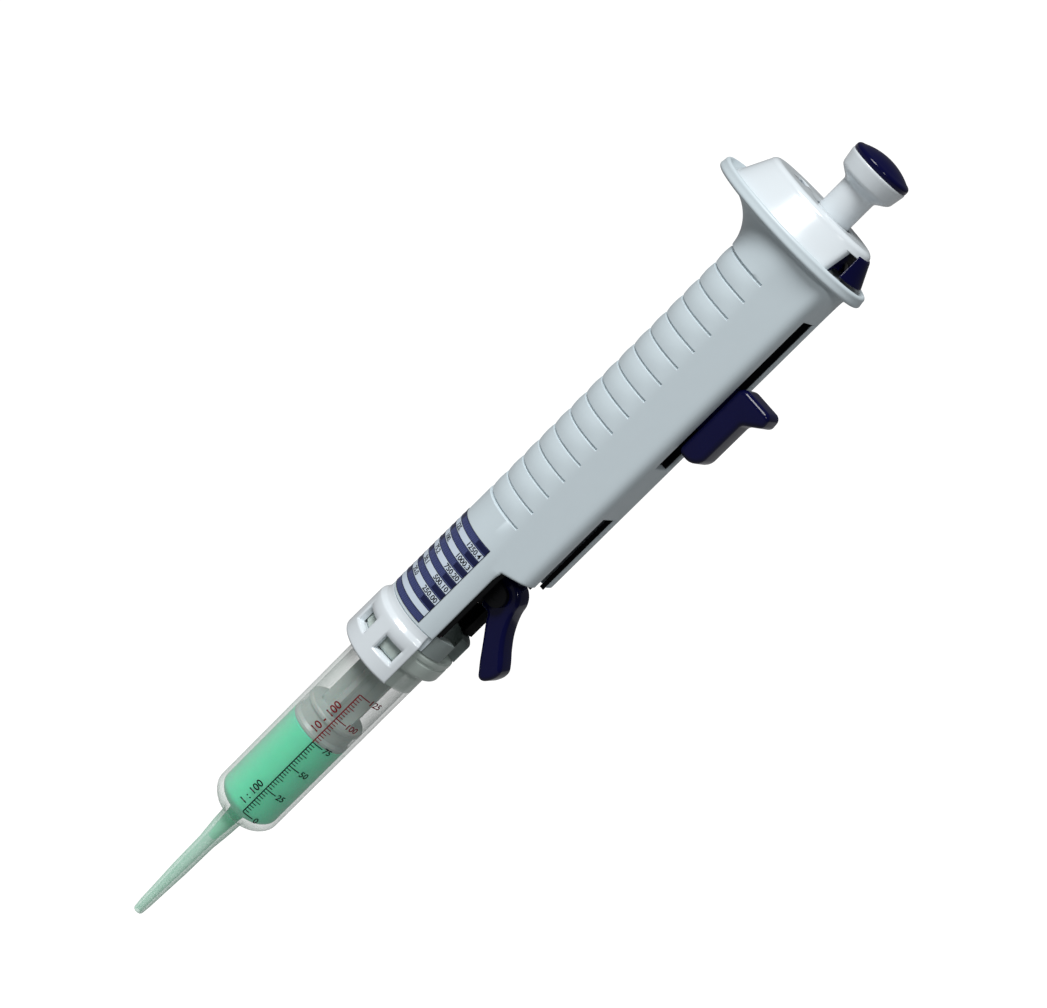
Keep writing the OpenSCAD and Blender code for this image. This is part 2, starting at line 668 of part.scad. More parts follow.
// Rectangle from x0 to x1 whose two front corners are rounded.
module round_front(x0, x1, half, r) {
  translate([x0, -half]) square([x1 - r - x0, 2 * half]);
  translate([x0, r - half]) square([x1 - x0, 2 * (half - r)]);
  for (s = [-1, 1]) translate([x1 - r, s * (half - r)]) circle(r);
}

// Finger piece with its stem through the upper slot and a hook for the fingertip.
module fill_slider() {
  x0 = front_x + gap;
  x1 = x0 + slider_t;
  tip = x1 + hook_reach;
  z1 = stem_high + 2.6;
  bar_face = tooth_x + tooth_depth + bar_t;
  color(navy) difference() {
    union() {
      translate([bar_face, -stem_y, stem_low]) cube([x0 + 1 - bar_face, 2 * stem_y, stem_high - stem_low]);
      intersection() {
        rotate([90, 0, 0]) translate([0, 0, -slider_y]) linear_extrude(2 * slider_y)
          polygon(concat([[x0, slider_z + 0.4], [x0 + 2.4, slider_z]],
            [for (u = [-70:20:0]) [x1 - 4.2 + 4.2 * cos(u), slider_z + 4.6 + 4.2 * sin(u)]],
            [[x1, z1 - 7.6], [x1 + 0.5, z1 - 6.2], [x1 + 1.8, z1 - 5], [tip - 0.7, z1 - 3.2]],
            [for (u = [-30:30:60]) [tip - 1 + cos(u), z1 - 1.3 + 1.2 * sin(u)]],
            [[tip - 1.8, z1], [x0 + 3.4, z1], [x0 + 1.6, z1 - 1.2], [x0, z1 - 3]]));
        union() {
          translate([0, 0, slider_z - 1]) linear_extrude(z1 - 6.8 - slider_z + 1) round_front(x0 - 1, x1, slider_y, 2);
          translate([0, 0, z1 - 6.8]) linear_extrude(8) round_front(x0 - 1, tip, slider_y, 2.4);
        }
      }
    }
    slider_screw_places() cylinder(r = 0.8 + seat, h = 8);
  }
}

module slider_screws() {
  color(steel) slider_screw_places() {
    translate([0, 0, -0.5]) cylinder(r = 0.8, h = 8);
    translate([0, 0, -0.9]) cylinder(r = 1.5, h = 0.9);
  }
}

gripper_r = barrel_bore - seat;
gripper_low = ring_top + 0.4 + slide_down + 4.8;
gripper_high = bar_low + 5;
pivot_z = gripper_low + pivot_rise;
neck_top = pivot_z + 3.5;
knob_h = 2.8;
ear_r = 3.2;
// Block that holds the rod's knob: two ears carry the lever.
module piston_gripper() {
  ear_in = lever_y + 0.25;
  color(dark) difference() {
    union() {
      translate([0, 0, gripper_low]) cylinder(r = gripper_r, h = gripper_high - gripper_low);
      for (s = [-1, 1]) translate([0, s * (ear_in + 1), 0]) rotate([90, 0, 0]) translate([0, 0, -1])
        linear_extrude(2) {
          translate([pivot_x, pivot_z]) circle(ear_r);
          translate([pivot_x - 8, pivot_z - ear_r]) square([8, 2 * ear_r]);
        }
    }
    translate([0, 0, gripper_low - 1]) cylinder(r = neck_r + 0.3, h = neck_top - gripper_low + 2);
    translate([0, -neck_r - 0.3, gripper_low - 1]) cube([20, 2 * neck_r + 0.6, neck_top - gripper_low + 2]);
    translate([0, 0, neck_top - 0.2]) cylinder(r = rod_knob_r + 0.2, h = knob_h + 0.6);
    translate([0, -rod_knob_r - 0.2, neck_top - 0.2]) cube([20, 2 * rod_knob_r + 0.4, knob_h + 0.6]);
    translate([pivot_x, 0, pivot_z]) rotate([90, 0, 0]) cylinder(r = hub_r + gap, h = 2 * ear_in, center = true);
    translate([pivot_x, -ear_in, gripper_low - 1]) cube([12, 2 * ear_in, pivot_z - gripper_low + 1]);
    translate([tooth_x + tooth_depth - seat, -bar_y - seat, bar_low - seat]) cube([12, 2 * bar_y + 2 * seat, 12]);
    translate([pivot_x, 0, pivot_z]) rotate([90, 0, 0]) cylinder(r = pin_r + seat, h = 20, center = true);
  }
}

module lever_pin() {
  color(steel) translate([pivot_x, 0, pivot_z]) rotate([90, 0, 0])
    cylinder(r = pin_r, h = 2 * (lever_y + 2.1), center = true);
}

// Cam lever: its round hub locks the rod's neck, its flat frees it.
module lock_lever() {
  p = [pivot_x, pivot_z];
  h = hub_r;
  n = arm_len;
  tip_r = 0.13 * n;
  color(navy) difference() {
    union() {
      translate([p.x, 0, p.y]) rotate([90, 0, 0]) cylinder(r = h, h = 2 * lever_y, center = true);
      rotate([90, 0, 0]) translate([0, 0, -lever_y]) linear_extrude(2 * lever_y)
        polygon(concat([p + h * [0.37, 0.13], p + h * [0.67, 0.67], p + h * [1.12, 0.27], p + n * [0.395, -0.08],
          p + n * [0.445, -0.22], p + n * [0.545, -0.39], p + n * [0.68, -0.53], p + n * [0.8, -0.65]],
          [for (u = [10:-30:-110]) p + n * [0.685, -0.86] + tip_r * [cos(u), sin(u)]],
          [p + n * [0.34, -0.71], p + n * [0.21, -0.54], p + n * [0.095, -0.4], p + h * [-0.13, -0.88],
            p + h * [0.1, -0.4]]));
    }
    translate([p.x, 0, p.y]) rotate([0, lever_swing - 180, 0]) translate([hub_r - 1.8 + 2, 0, 0])
      cube([4, 20, 2 * hub_r], center = true);
    translate([p.x, 0, p.y]) rotate([90, 0, 0]) cylinder(r = pin_r + run, h = 20, center = true);
  }
}

// Syringe: tapered nozzle, domed shoulder, clear barrel and flange ring.
module syringe_barrel() {
  n = nozzle_len;
  s = n + barrel_shoulder_h;
  color([0.72, 0.82, 0.78, 0.5]) difference() {
    rotate_extrude() polygon([[0, 0], [outlet_r + 0.4, 0], [outlet_r + 0.6, 0.4], [1.8, 0.085 * n], [2.0, 0.225 * n],
      [2.4, 0.435 * n], [2.6, 0.715 * n], [3.2, 0.865 * n], [3.5, n], [4.3, n + 0.5],
      [barrel_r - 3.4, n + 1.3], [barrel_r - 1.4, n + 3.1], [barrel_r - 0.4, n + 4.6], [barrel_r, s],
      [barrel_r, ring_z], [ring_r - 0.7, ring_z], [ring_r, ring_z + 0.7], [ring_r, ring_top - 2.9],
      [ring_r - 0.4, ring_top - 2.6], [ring_r - 0.4, ring_top - 2.2], [ring_r, ring_top - 1.9],
      [ring_r, ring_top - 0.5], [ring_r - 0.5, ring_top], [0, ring_top]]);
    rotate_extrude() polygon([[0, outlet_len], [outlet_r, outlet_len], [1.3, 0.435 * n], [1.6, 0.8 * n], [2.3, n],
      [2.6, n + 1.6], [barrel_bore - 1.6, s - 1.2], [barrel_bore, s + 0.8], [0, s + 0.8]]);
    translate([0, 0, s + 0.8 - eps]) cylinder(r = barrel_bore, h = ring_top - s);
    translate([0, 0, -1]) cylinder(r = outlet_r, h = outlet_len + 1 + eps);
  }
}

rod_shoulder = gripper_low - 1.9;
// Cross-ribbed rod with the neck and knob that the gripper holds.
module piston_rod() {
  low = piston_z + piston_h - 2.5;
  color(smoke) {
    for (a = [0, 90]) rotate([0, 0, a]) translate([-rod_r, -0.8, low]) cube([2 * rod_r, 1.6, rod_shoulder - low]);
    translate([0, 0, low]) cylinder(r = neck_r, h = neck_top - low + eps);
    for (z = [low, rod_shoulder]) translate([0, 0, z]) cylinder(r = rod_r + 0.4, h = 1.5);
    translate([0, 0, neck_top]) cylinder(r1 = rod_knob_r, r2 = rod_knob_r - 1, h = knob_h);
  }
}

// Piston with two sealing lips, pressed on the rod's foot.
module piston_seal() {
  r = barrel_bore - piston_gap;
  color(smoke) difference() {
    rotate_extrude() polygon([[0, piston_z], [r - 0.3, piston_z], [r, piston_z + 0.5], [r, piston_z + 1.3],
      [r - 0.7, piston_z + 2.2], [r - 0.7, piston_z + piston_h - 2.2], [r, piston_z + piston_h - 1.3],
      [r, piston_z + piston_h - 0.5], [r - 0.3, piston_z + piston_h], [0, piston_z + piston_h]]);
    translate([0, 0, piston_z + piston_h - 2.5 - seat]) cylinder(r = rod_r + 0.4 + seat, h = 1.5 + 2 * seat);
    translate([0, 0, piston_z + piston_h - 2]) cylinder(r = rod_r + seat, h = 5);
  }
}

housing();
syringe_collar();
syringe_latch();
inner_frame();
frame_screws();
head_cover();
dial_window();
selector_dial();
detent_ball();
detent_spring();
plunger_bush();
plunger_button();
button_cap();
push_rod();
retaining_clip();
return_spring();
pawl_carrier();
pawl();
pawl_pin();
pawl_spring();
rack_bar();
piston_gripper();
fill_slider();
slider_screws();
lock_lever();
lever_pin();
syringe_barrel();
piston_rod();
piston_seal();
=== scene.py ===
"""Looks of a repeating pipette: shells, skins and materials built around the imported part."""

import json
import math
from types import SimpleNamespace

import bpy
import numpy as np
from mathutils import Matrix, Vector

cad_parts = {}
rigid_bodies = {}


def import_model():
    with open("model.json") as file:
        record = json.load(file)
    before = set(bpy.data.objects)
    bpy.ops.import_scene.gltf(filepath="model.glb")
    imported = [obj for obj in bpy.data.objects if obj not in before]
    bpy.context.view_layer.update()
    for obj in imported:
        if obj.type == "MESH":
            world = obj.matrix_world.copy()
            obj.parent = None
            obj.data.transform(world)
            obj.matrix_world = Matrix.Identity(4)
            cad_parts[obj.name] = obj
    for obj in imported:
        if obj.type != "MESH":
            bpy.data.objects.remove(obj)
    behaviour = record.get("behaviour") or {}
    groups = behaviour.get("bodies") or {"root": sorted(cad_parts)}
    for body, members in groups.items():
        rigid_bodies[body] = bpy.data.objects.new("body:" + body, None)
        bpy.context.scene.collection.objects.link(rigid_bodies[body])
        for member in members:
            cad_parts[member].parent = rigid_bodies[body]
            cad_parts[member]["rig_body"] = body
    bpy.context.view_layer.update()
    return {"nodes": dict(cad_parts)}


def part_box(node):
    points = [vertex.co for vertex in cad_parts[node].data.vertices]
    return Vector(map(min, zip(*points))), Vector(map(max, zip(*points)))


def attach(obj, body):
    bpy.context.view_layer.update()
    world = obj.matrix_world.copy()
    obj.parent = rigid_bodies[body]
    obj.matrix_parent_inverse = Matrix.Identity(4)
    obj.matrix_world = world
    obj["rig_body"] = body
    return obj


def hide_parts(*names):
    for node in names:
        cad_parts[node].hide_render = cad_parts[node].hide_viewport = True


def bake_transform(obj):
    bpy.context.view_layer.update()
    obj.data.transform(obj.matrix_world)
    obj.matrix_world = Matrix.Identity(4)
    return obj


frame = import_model()

bl_info = {
    "name": "Repeating pipette",
    "version": (1, 0, 0),
    "blender": (4, 5, 0),
    "location": "View3D > Sidebar > Pipette",
    "description": "Shells, skins and materials of a repeating pipette with a clipped-in syringe",
    "category": "Object",
}

MM = 0.001
MADE = {}

# Syringe: the nozzle's upper end, and the barrel's outer radius and wall, in millimetres.
NOZZLE_TOP, BARREL_R, BARREL_WALL = 43.0, 10.55, 1.1
# Dosing table: direction in degrees in which the dark blocks at its left end stop.
BLOCK_END = -141


def low(node):
    """Lowest corner of a node of the frame, in millimetres."""
    return np.array(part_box(node)[0]) / MM


def high(node):
    """Highest corner of a node of the frame, in millimetres."""
    return np.array(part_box(node)[1]) / MM


def linear(code):
    """An sRGB hex colour as a linear colour with full alpha."""
    c = np.array([int(code[i:i + 2], 16) for i in (1, 3, 5)]) / 255
    rgb = np.where(c <= 0.04045, c / 12.92, ((c + 0.055) / 1.055) ** 2.4)
    return (*[float(v) for v in rgb], 1.0)


def length(name, text, default):
    """A length of the model in metres, given here in millimetres."""
    return bpy.props.FloatProperty(
        name=name, description=text, default=default * MM, unit="LENGTH", precision=5)


def degrees(name, text, default):
    """An angle of the model in radians, given here in degrees."""
    return bpy.props.FloatProperty(
        name=name, description=text, default=math.radians(default), subtype="ANGLE")


def colour(name, text, code):
    """A colour of the model, given here as an sRGB hex code."""
    return bpy.props.FloatVectorProperty(
        name=name, description=text, default=linear(code), size=4, subtype="COLOR", min=0, max=1)


class PipetteBodySizes(bpy.types.PropertyGroup):
    """Sizes of the grey body, its flange and the white head."""

    back: length("Back radius", "Radius of the round back", 13.7)
    tail: length("Tail radius", "Radius of the lower end at the collar", 14.05)
    front: length("Front reach", "Distance from the axis to the flat front face", 16.1)
    edge: length("Edge radius", "Radius of the long edges beside the front face", 4.0)
    edge_y: length("Edge centre", "Half width between the centres of those edges", 6.1)
    wall: length("Wall", "Wall of the body moulding", 2.0)
    bore: length("Bore", "Radius of the body's bore", 11.8)
    shoulder: length("Shoulder height", "Height at which the trough ends", 153.6)
    slope: degrees("Shoulder slope", "Slope of the shoulder", 17)
    trough: degrees("Trough", "Half angle of the open trough", 52.5)
    slot: length("Slot half width", "Half width of both front slots", 4.3)
    lower_slot_end: length("Lower slot end", "Height of the lower slot's upper end", 183.2)
    slot_start: length("Slot start", "Height of the upper slot's lower end", 203.3)
    slot_end: length("Slot end", "Height of the upper slot's upper end", 258.5)
    grooves: bpy.props.IntProperty(name="Grooves", description="Grooves across the back", default=16, min=1)
    groove_start: length("First groove", "Height of the lowest groove", 165.9)
    groove_pitch: length("Groove pitch", "Distance between grooves", 6.16)
    groove_width: length("Groove width", "Width of a groove", 0.85)
    groove_depth: length("Groove depth", "Depth of a groove below the body", 0.55)
    pad_fall: length("Pad fall", "Fall of each pad towards its grooves", 0.22)
    groove_end: degrees("Groove end", "Direction in which the grooves end, from the front", 75)
    flange_a: length("Flange half length", "Half length of the finger flange", 26.9)
    flange_b: length("Flange half width", "Half width of the finger flange", 17.5)
    flange_x: length("Flange centre", "Centre of the finger flange", -5.1)
    flange_h: length("Flange height", "Thickness of the finger flange", 3.6)
    sweep: length("Sweep", "Height of the concave sweep under the flange", 12)
    deck_hole: length("Deck hole", "Radius of the bush's hole in the deck", 7.05)
    head_a: length("Head half length", "Half length of the head's foot", 23.5)
    head_b: length("Head half width", "Half width of the head's foot", 15.5)
    head_x: length("Head centre", "Centre of the head", -4.0)
    head_slope: degrees("Head slope", "Inward slope of the head's side", 26.6)
    head_wall: length("Head wall", "Wall of the head", 1.4)
    notch: length("Notch", "Distance from the axis to the notch in the head", 11.8)
    window: length("Window centre", "Place of the number window behind the axis", 12.4)


class PipetteColours(bpy.types.PropertyGroup):
    """Colours of the mouldings, the prints and the liquid."""

    body: colour("Body", "Light grey satin moulding", "#ccd9df")
    white: colour("White", "White glossy moulding", "#dbe3e8")
    navy: colour("Navy", "Navy glossy moulding", "#090a36")
    black: colour("Black", "Black mouldings inside", "#07080b")
    smoke: colour("Smoke", "Grey translucent catch", "#8f9b9a")
    barrel: colour("Barrel", "Translucent syringe barrel", "#d0ded8")
    film_wet: colour("Wet nozzle", "Film of liquid left in the nozzle", "#c4f2de")
    piston: colour("Piston", "Grey piston", "#c4cfcb")
    liquid: colour("Liquid", "Green liquid", "#22f2bb")
    steel: colour("Steel", "Bright steel", "#b9bcc0")
    lens: colour("Lens", "Grey tinted window", "#7c8b9a")
    band: colour("Band", "Slate bands of the table", "#515b8e")
    block: colour("Block", "Dark ends of those bands", "#181d42")
    film: colour("Film", "Pale bands of the table", "#c9d6e4")
    ink: colour("Ink", "Black figures", "#15171c")
    red: colour("Red ink", "Red part of the scale", "#7c1420")


def sizes():
    """The body's sizes in millimetres and radians, as plain values by name."""
    group = bpy.context.scene.pipette_sizes
    out = {}
    for name, prop in group.bl_rna.properties.items():
        if name in ("rna_type", "name"):
            continue
        value = getattr(group, name)
        out[name] = value if prop.type == "INT" or prop.subtype == "ANGLE" else value / MM
    return SimpleNamespace(**out)


def colours():
    """The colours of the mouldings, the prints and the liquid."""
    return bpy.context.scene.pipette_colours


# ---------------------------------------------------------------- meshes

def volume(points, faces):
    """Signed volume inside a closed surface: the sum of tetrahedra from the origin to each face's fan."""
    total = 0.0
    for group in faces:
        a = points[group[:, 0]]
        for k in range(1, group.shape[1] - 1):
            total += np.einsum("ij,ij->i", a, np.cross(points[group[:, k]], points[group[:, k + 1]])).sum()
    return total


def piece(name, points, faces, body, material, replaces=(), sharp=40):
    """Object from points in millimetres and arrays of faces, turned outwards, riding on a body."""
    faces = [np.asarray(group) for group in faces if len(group)]
    used = np.unique(np.concatenate([group.ravel() for group in faces]))
    renumber = np.zeros(len(points), int)
    renumber[used] = np.arange(len(used))
    points = points[used]
    faces = [renumber[group] for group in faces]
    if volume(points, faces) < 0:
        faces = [group[:, ::-1] for group in faces]
    mesh = bpy.data.meshes.new(name)
    mesh.from_pydata((points * MM).tolist(), [], [f for group in faces for f in group.tolist()])
    mesh.materials.append(material)
    mesh.shade_smooth()
    mesh.set_sharp_from_angle(angle=math.radians(sharp))
    obj = bpy.data.objects.new(name, mesh)
    bpy.context.scene.collection.objects.link(obj)
    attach(obj, body)
    if replaces:
        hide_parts(*replaces)
    return obj


def grid_faces(rows, columns, wrap_rows=False):
    """Quads between the points of a grid whose point (i, j) has number i * columns + j; the columns wrap."""
    i = np.arange(rows if wrap_rows else rows - 1)
    j = np.arange(columns)
    i, j = [a.ravel() for a in np.meshgrid(i, j, indexing="ij")]
    up, side = (i + 1) % rows, (j + 1) % columns
    return np.stack([i * columns + j, i * columns + side, up * columns + side, up * columns + j], 1)


def capped(rows, columns):
    """Faces of a tube of points, row upon row, with a cap over its first and its last row."""
    ends = np.arange(columns)[None]
    return [grid_faces(rows, columns), ends[:, ::-1], ends + (rows - 1) * columns]


def shell(outer, inner, keep, wrap=True):
    """Walled surface: an outer and an inner grid, the cells that are kept, and a rim round each opening.

    outer and inner have the shape (rows, columns, 3); keep has one entry for each cell. A rim face joins
    the two grids wherever a kept cell meets one that isn't.
    """
    rows, columns = outer.shape[:2]
    count = rows * columns
    cells = columns if wrap else columns - 1
    i, j = np.nonzero(keep)
    k = (j + 1) % columns
    skin = np.stack([i * columns + j, i * columns + k, (i + 1) * columns + k, (i + 1) * columns + j], 1)
    faces = [skin, skin[:, ::-1] + count]
    padded = np.zeros((rows + 1, cells), bool)
    padded[1:-1] = keep
    for below in (True, False):
        edge = padded[1:] & ~padded[:-1] if below else padded[:-1] & ~padded[1:]
        i, j = np.nonzero(edge)
        a, b = i * columns + j, i * columns + (j + 1) % columns
        a, b = (b, a) if below else (a, b)
        faces.append(np.stack([a, b, b + count, a + count], 1))
    before = np.roll(keep, 1, axis=1) if wrap else np.pad(keep, ((0, 0), (1, 0)))
    here = keep if wrap else np.pad(keep, ((0, 0), (0, 1)))
    for right in (True, False):
        i, j = np.nonzero(here & ~before if right else before & ~here)
        a, b = i * columns + j, (i + 1) * columns + j
        a, b = (a, b) if right else (b, a)
        faces.append(np.stack([a, b, b + count, a + count], 1))
    return np.concatenate([outer.reshape(-1, 3), inner.reshape(-1, 3)]), faces


def soften(profile, cuts, steps=5, closed=True):
    """Profile whose corners are replaced by parabolas that touch both sides.

    Each corner is cut back along its sides by its length in cuts, but never past the side's middle.
    """
    p = np.asarray(profile, float)
    cuts = np.broadcast_to(np.asarray(cuts, float), len(p))
    out = []
    for n, corner in enumerate(p):
        if cuts[n] <= 0 or (not closed and n in (0, len(p) - 1)):
            out.append(corner[None])
            continue
        sides = [p[n - 1] - corner, p[(n + 1) % len(p)] - corner]
        ends = [corner + s * min(cuts[n] / np.linalg.norm(s), 0.48) for s in sides]
        t = np.linspace(0, 1, steps)[:, None]
        out.append((1 - t) ** 2 * ends[0] + 2 * t * (1 - t) * corner + t ** 2 * ends[1])
    return np.concatenate(out)


def softened(rows, steps=5, closed=True):
    """Softened profile from rows of (radius, height, cut)."""
    rows = np.array(rows, float)
    return soften(rows[:, :2], rows[:, 2], steps, closed)


def turned(name, profile, body, material, replaces=(), columns=128, ring=False, sharp=40):
    """Solid turned about the instrument's axis from a profile of (radius, height).

    A ring's profile closes on itself. Any other profile starts and ends near the axis and is capped.
    """
    p = np.asarray(profile, float)
    a = np.linspace(0, 2 * np.pi, columns, endpoint=False)
    r, z = np.broadcast_arrays(p[:, :1], p[:, 1:])
    grid = np.stack([r * np.cos(a), r * np.sin(a), z + 0 * a], 2)
    faces = [grid_faces(len(p), columns, wrap_rows=True)] if ring else capped(len(p), columns)
    return piece(name, grid.reshape(-1, 3), faces, body, material, replaces, sharp)


def cushioned(name, outline, half, edge, body, material, replaces=(), sharp=40):
    """Flat blank of an (x, z) outline, 2 * half thick, whose long edges are rounded by a quarter circle.

    Row by row the outline moves in along its normals by edge * (1 - cos u) while y moves out by edge * sin u.
    """
    p = np.asarray(outline, float)
    ahead, behind = np.roll(p, -1, 0) - p, p - np.roll(p, 1, 0)
    ahead = ahead / np.linalg.norm(ahead, axis=1)[:, None]
    behind = behind / np.linalg.norm(behind, axis=1)[:, None]
    tangent = ahead + behind
    tangent /= np.linalg.norm(tangent, axis=1)[:, None]
    area = (p[:, 0] * np.roll(p[:, 1], -1) - np.roll(p[:, 0], -1) * p[:, 1]).sum()
    normal = np.stack([tangent[:, 1], -tangent[:, 0]], 1) * np.sign(area)
    u = np.linspace(0, np.pi / 2, 9)
    y = half - edge + edge * np.sin(u)
    y = np.concatenate([-y[::-1], y])
    inset = edge * (1 - np.cos(u))
    inset = np.concatenate([inset[::-1], inset])
    xz = p[None] - normal[None] * inset[:, None, None]
    grid = np.stack([xz[..., 0], np.broadcast_to(y[:, None], xz.shape[:2]), xz[..., 1]], 2)
    return piece(name, grid.reshape(-1, 3), capped(len(y), len(p)), body, material, replaces, sharp)


def loosen(obj):
    """Takes a piece off the body that it rides on."""
    obj.parent = None
    if "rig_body" in obj:
        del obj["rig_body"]


def rounded(corners, radii, steps=9):
    """Closed outline whose corners are replaced by arcs of the given radii that touch both sides."""
    p = np.asarray(corners, float)
    out = []
    for n, corner in enumerate(p):
        a, b = p[n - 1] - corner, p[(n + 1) % len(p)] - corner
        a, b = a / np.linalg.norm(a), b / np.linalg.norm(b)
        half = math.acos(a @ b) / 2
        centre = corner + (a + b) / np.linalg.norm(a + b) * radii[n] / math.sin(half)
        t = np.linspace(0, 1, steps)[:, None]
        way = corner - centre + radii[n] / math.tan(half) * (a * (1 - t) + b * t)
        out.append(centre + radii[n] * way / np.linalg.norm(way, axis=1)[:, None])
    return np.concatenate(out)


def flowing(corners, steps=7):
    """Closed Catmull-Rom curve through points: on each span a cubic whose ends run along their neighbours."""
    p = np.asarray(corners, float)
    a, b, c, d = np.roll(p, 1, 0), p, np.roll(p, -1, 0), np.roll(p, -2, 0)
    t = np.linspace(0, 1, steps, endpoint=False)[:, None, None]
    square, cube = 2 * a - 5 * b + 4 * c - d, 3 * b - a - 3 * c + d
    out = 0.5 * (2 * b + (c - a) * t + square * t ** 2 + cube * t ** 3)
    return out.transpose(1, 0, 2).reshape(-1, 2)


def arc(centre, radius, start, end, steps=8):
    """Points of an arc between two directions in degrees."""
    a = np.radians(np.linspace(start, end, steps))
    return np.stack([centre[0] + radius * np.cos(a), centre[1] + radius * np.sin(a)], 1)


def smooth(x, start, end):
    """0 before start, 1 after end, and a cubic between."""
    t = np.clip((np.asarray(x, float) - start) / (end - start), 0, 1)
    return t * t * (3 - 2 * t)


def rounding(distance, radius):
    """Depth by which an edge falls away at a distance from it: a quarter circle of that radius."""
    d = np.clip(radius - distance, 0, radius)
    return radius - np.sqrt(radius ** 2 - d ** 2)


def merged(mandatory, others, closest=0.06):
    """Sorted values, with those that lie too close to a mandatory one left out."""
    out = sorted(set(np.round(mandatory, 4)))
    for v in sorted(others):
        if min(abs(v - m) for m in out) > closest:
            out.append(v)
    return np.array(sorted(out))


def figures(text, height, spread=1.0):
    """Flat mesh of a line of figures: points (n, 2) in millimetres from its lower left corner, and faces."""
    curve = bpy.data.curves.new("figures", "FONT")
    curve.body = text
    curve.size = height * MM / 0.7
    curve.space_character = spread
    curve.offset = 0.02 * height * MM
    curve.resolution_u = 3
    obj = bpy.data.objects.new("figures", curve)
    bpy.context.scene.collection.objects.link(obj)
    graph = bpy.context.evaluated_depsgraph_get()
    mesh = bpy.data.meshes.new_from_object(obj.evaluated_get(graph))
    points = np.array([v.co[:2] for v in mesh.vertices]).reshape(-1, 2) / MM
    faces = [list(f.vertices) for f in mesh.polygons]
    bpy.data.objects.remove(obj)
    bpy.data.curves.remove(curve)
    bpy.data.meshes.remove(mesh)
    return points - points.min(0), faces


def raised(flat, place, thickness=0.03):
    """Closed skin over flat faces: the faces, a copy lifted by the thickness, and walls along their edges.

    flat is a list of (points, faces) in a plane; place(points, lift) puts them on their surface.
    """
    points, top, sides, start = [], [], [], 0
    for p, faces in flat:
        points.append(p)
        for f in faces:
            f = [v + start for v in f]
            top.append(f)
            sides += list(zip(f, f[1:] + f[:1]))
        start += len(p)
    points = np.concatenate(points)
    count = len(points)
    seen = set(sides)
    rim = [[a, b, b + count, a + count] for a, b in sides if (b, a) not in seen]
    solid = np.concatenate([place(points, 0.0), place(points, thickness)])
    every = [f[::-1] for f in top] + [[v + count for v in f] for f in top] + rim
    by_size = {}
    for f in every:
        by_size.setdefault(len(f), []).append(f)
    return solid, [np.array(v) for v in by_size.values()]


def bar(x0, y0, x1, y1, steps=1):
    """Flat rectangle, split along y so that it can follow a curved surface."""
    y = np.linspace(y0, y1, steps + 1)
    points = np.concatenate([[(x0, v), (x1, v)] for v in y])
    return points, [[2 * k, 2 * k + 1, 2 * k + 3, 2 * k + 2] for k in range(steps)]


def moved(flat, x, y, turn=0):
    """Flat figures turned by quarter turns and moved."""
    points, faces = flat
    for _ in range(turn % 4):
        points = np.stack([-points[:, 1], points[:, 0]], 1)
    points = points - points.min(0)
    return points + [x, y], faces


# ---------------------------------------------------------------- materials

def add_node(tree, kind, settings=(), inputs=()):
    """Adds a node, sets its properties, and links or sets its inputs."""
    node = tree.nodes.new(kind)
    for key, value in dict(settings).items():
        setattr(node, key, value)
    for key, value in dict(inputs).items():
        if isinstance(value, bpy.types.NodeSocket):
            tree.links.new(value, node.inputs[key])
        else:
            node.inputs[key].default_value = value
    return node


def maths(tree, operation, a, b=0.0, clamp=False):
    """One step of arithmetic on sockets or numbers."""
    settings = {"operation": operation, "use_clamp": clamp}
    return add_node(tree, "ShaderNodeMath", settings, {0: a, 1: b}).outputs[0]


def ramp(tree, value, start, end, low_end, high_end):
    """Straight ramp over a value: one result up to its start, the other from its end on."""
    return add_node(tree, "ShaderNodeMapRange", {}, {
        "Value": value, "From Min": start, "From Max": end, "To Min": low_end, "To Max": high_end}).outputs[0]


def noise(tree, place, size, detail=2.0):
    """Noise whose clouds have the given size in mm, from 0 to 1."""
    return add_node(tree, "ShaderNodeTexNoise", {}, {
        "Vector": place, "Scale": 1 / (size * MM), "Detail": detail}).outputs["Fac"]


def blended(tree, fac, first, second):
    """Colour between two colours or sockets: the first where fac is 0, the second where it is 1."""
    return add_node(tree, "ShaderNodeMix", {"data_type": "RGBA"}, {
        "Factor": fac, 6: first, 7: second}).outputs[2]


def new_material(name):
    """Empty material, its tree, its Principled shader and its Object coordinates."""
    material = bpy.data.materials.new(name)
    material.use_nodes = True
    tree = material.node_tree
    tree.nodes.clear()
    shader = add_node(tree, "ShaderNodeBsdfPrincipled")
    output = add_node(tree, "ShaderNodeOutputMaterial")
    tree.links.new(shader.outputs[0], output.inputs["Surface"])
    place = add_node(tree, "ShaderNodeTexCoord").outputs["Object"]
    return material, tree, shader, place


def grained(tree, place, shader, size, depth, rough, spread):
    """Fine moulded grain: a bump of the given size and depth in mm, and roughness that varies over 6 mm."""
    bump = add_node(tree, "ShaderNodeBump", {}, {
        "Height": noise(tree, place, size, 3.0), "Distance": depth * MM, "Strength": 0.6})
    cloud = noise(tree, place, 6)
    tree.links.new(bump.outputs[0], shader.inputs["Normal"])
    tree.links.new(ramp(tree, cloud, 0.3, 0.7, rough - spread, rough + spread), shader.inputs["Roughness"])
    return cloud


def tinted(tree, shader, fac, colour_value, darker):
    """Base colour that varies a little: the colour, and the colour made darker, mixed by a noise."""
    dim = [c * darker for c in colour_value[:3]] + [1.0]
    tint = blended(tree, fac, tuple(colour_value), dim)
    tree.links.new(tint, shader.inputs["Base Color"])
    return tint


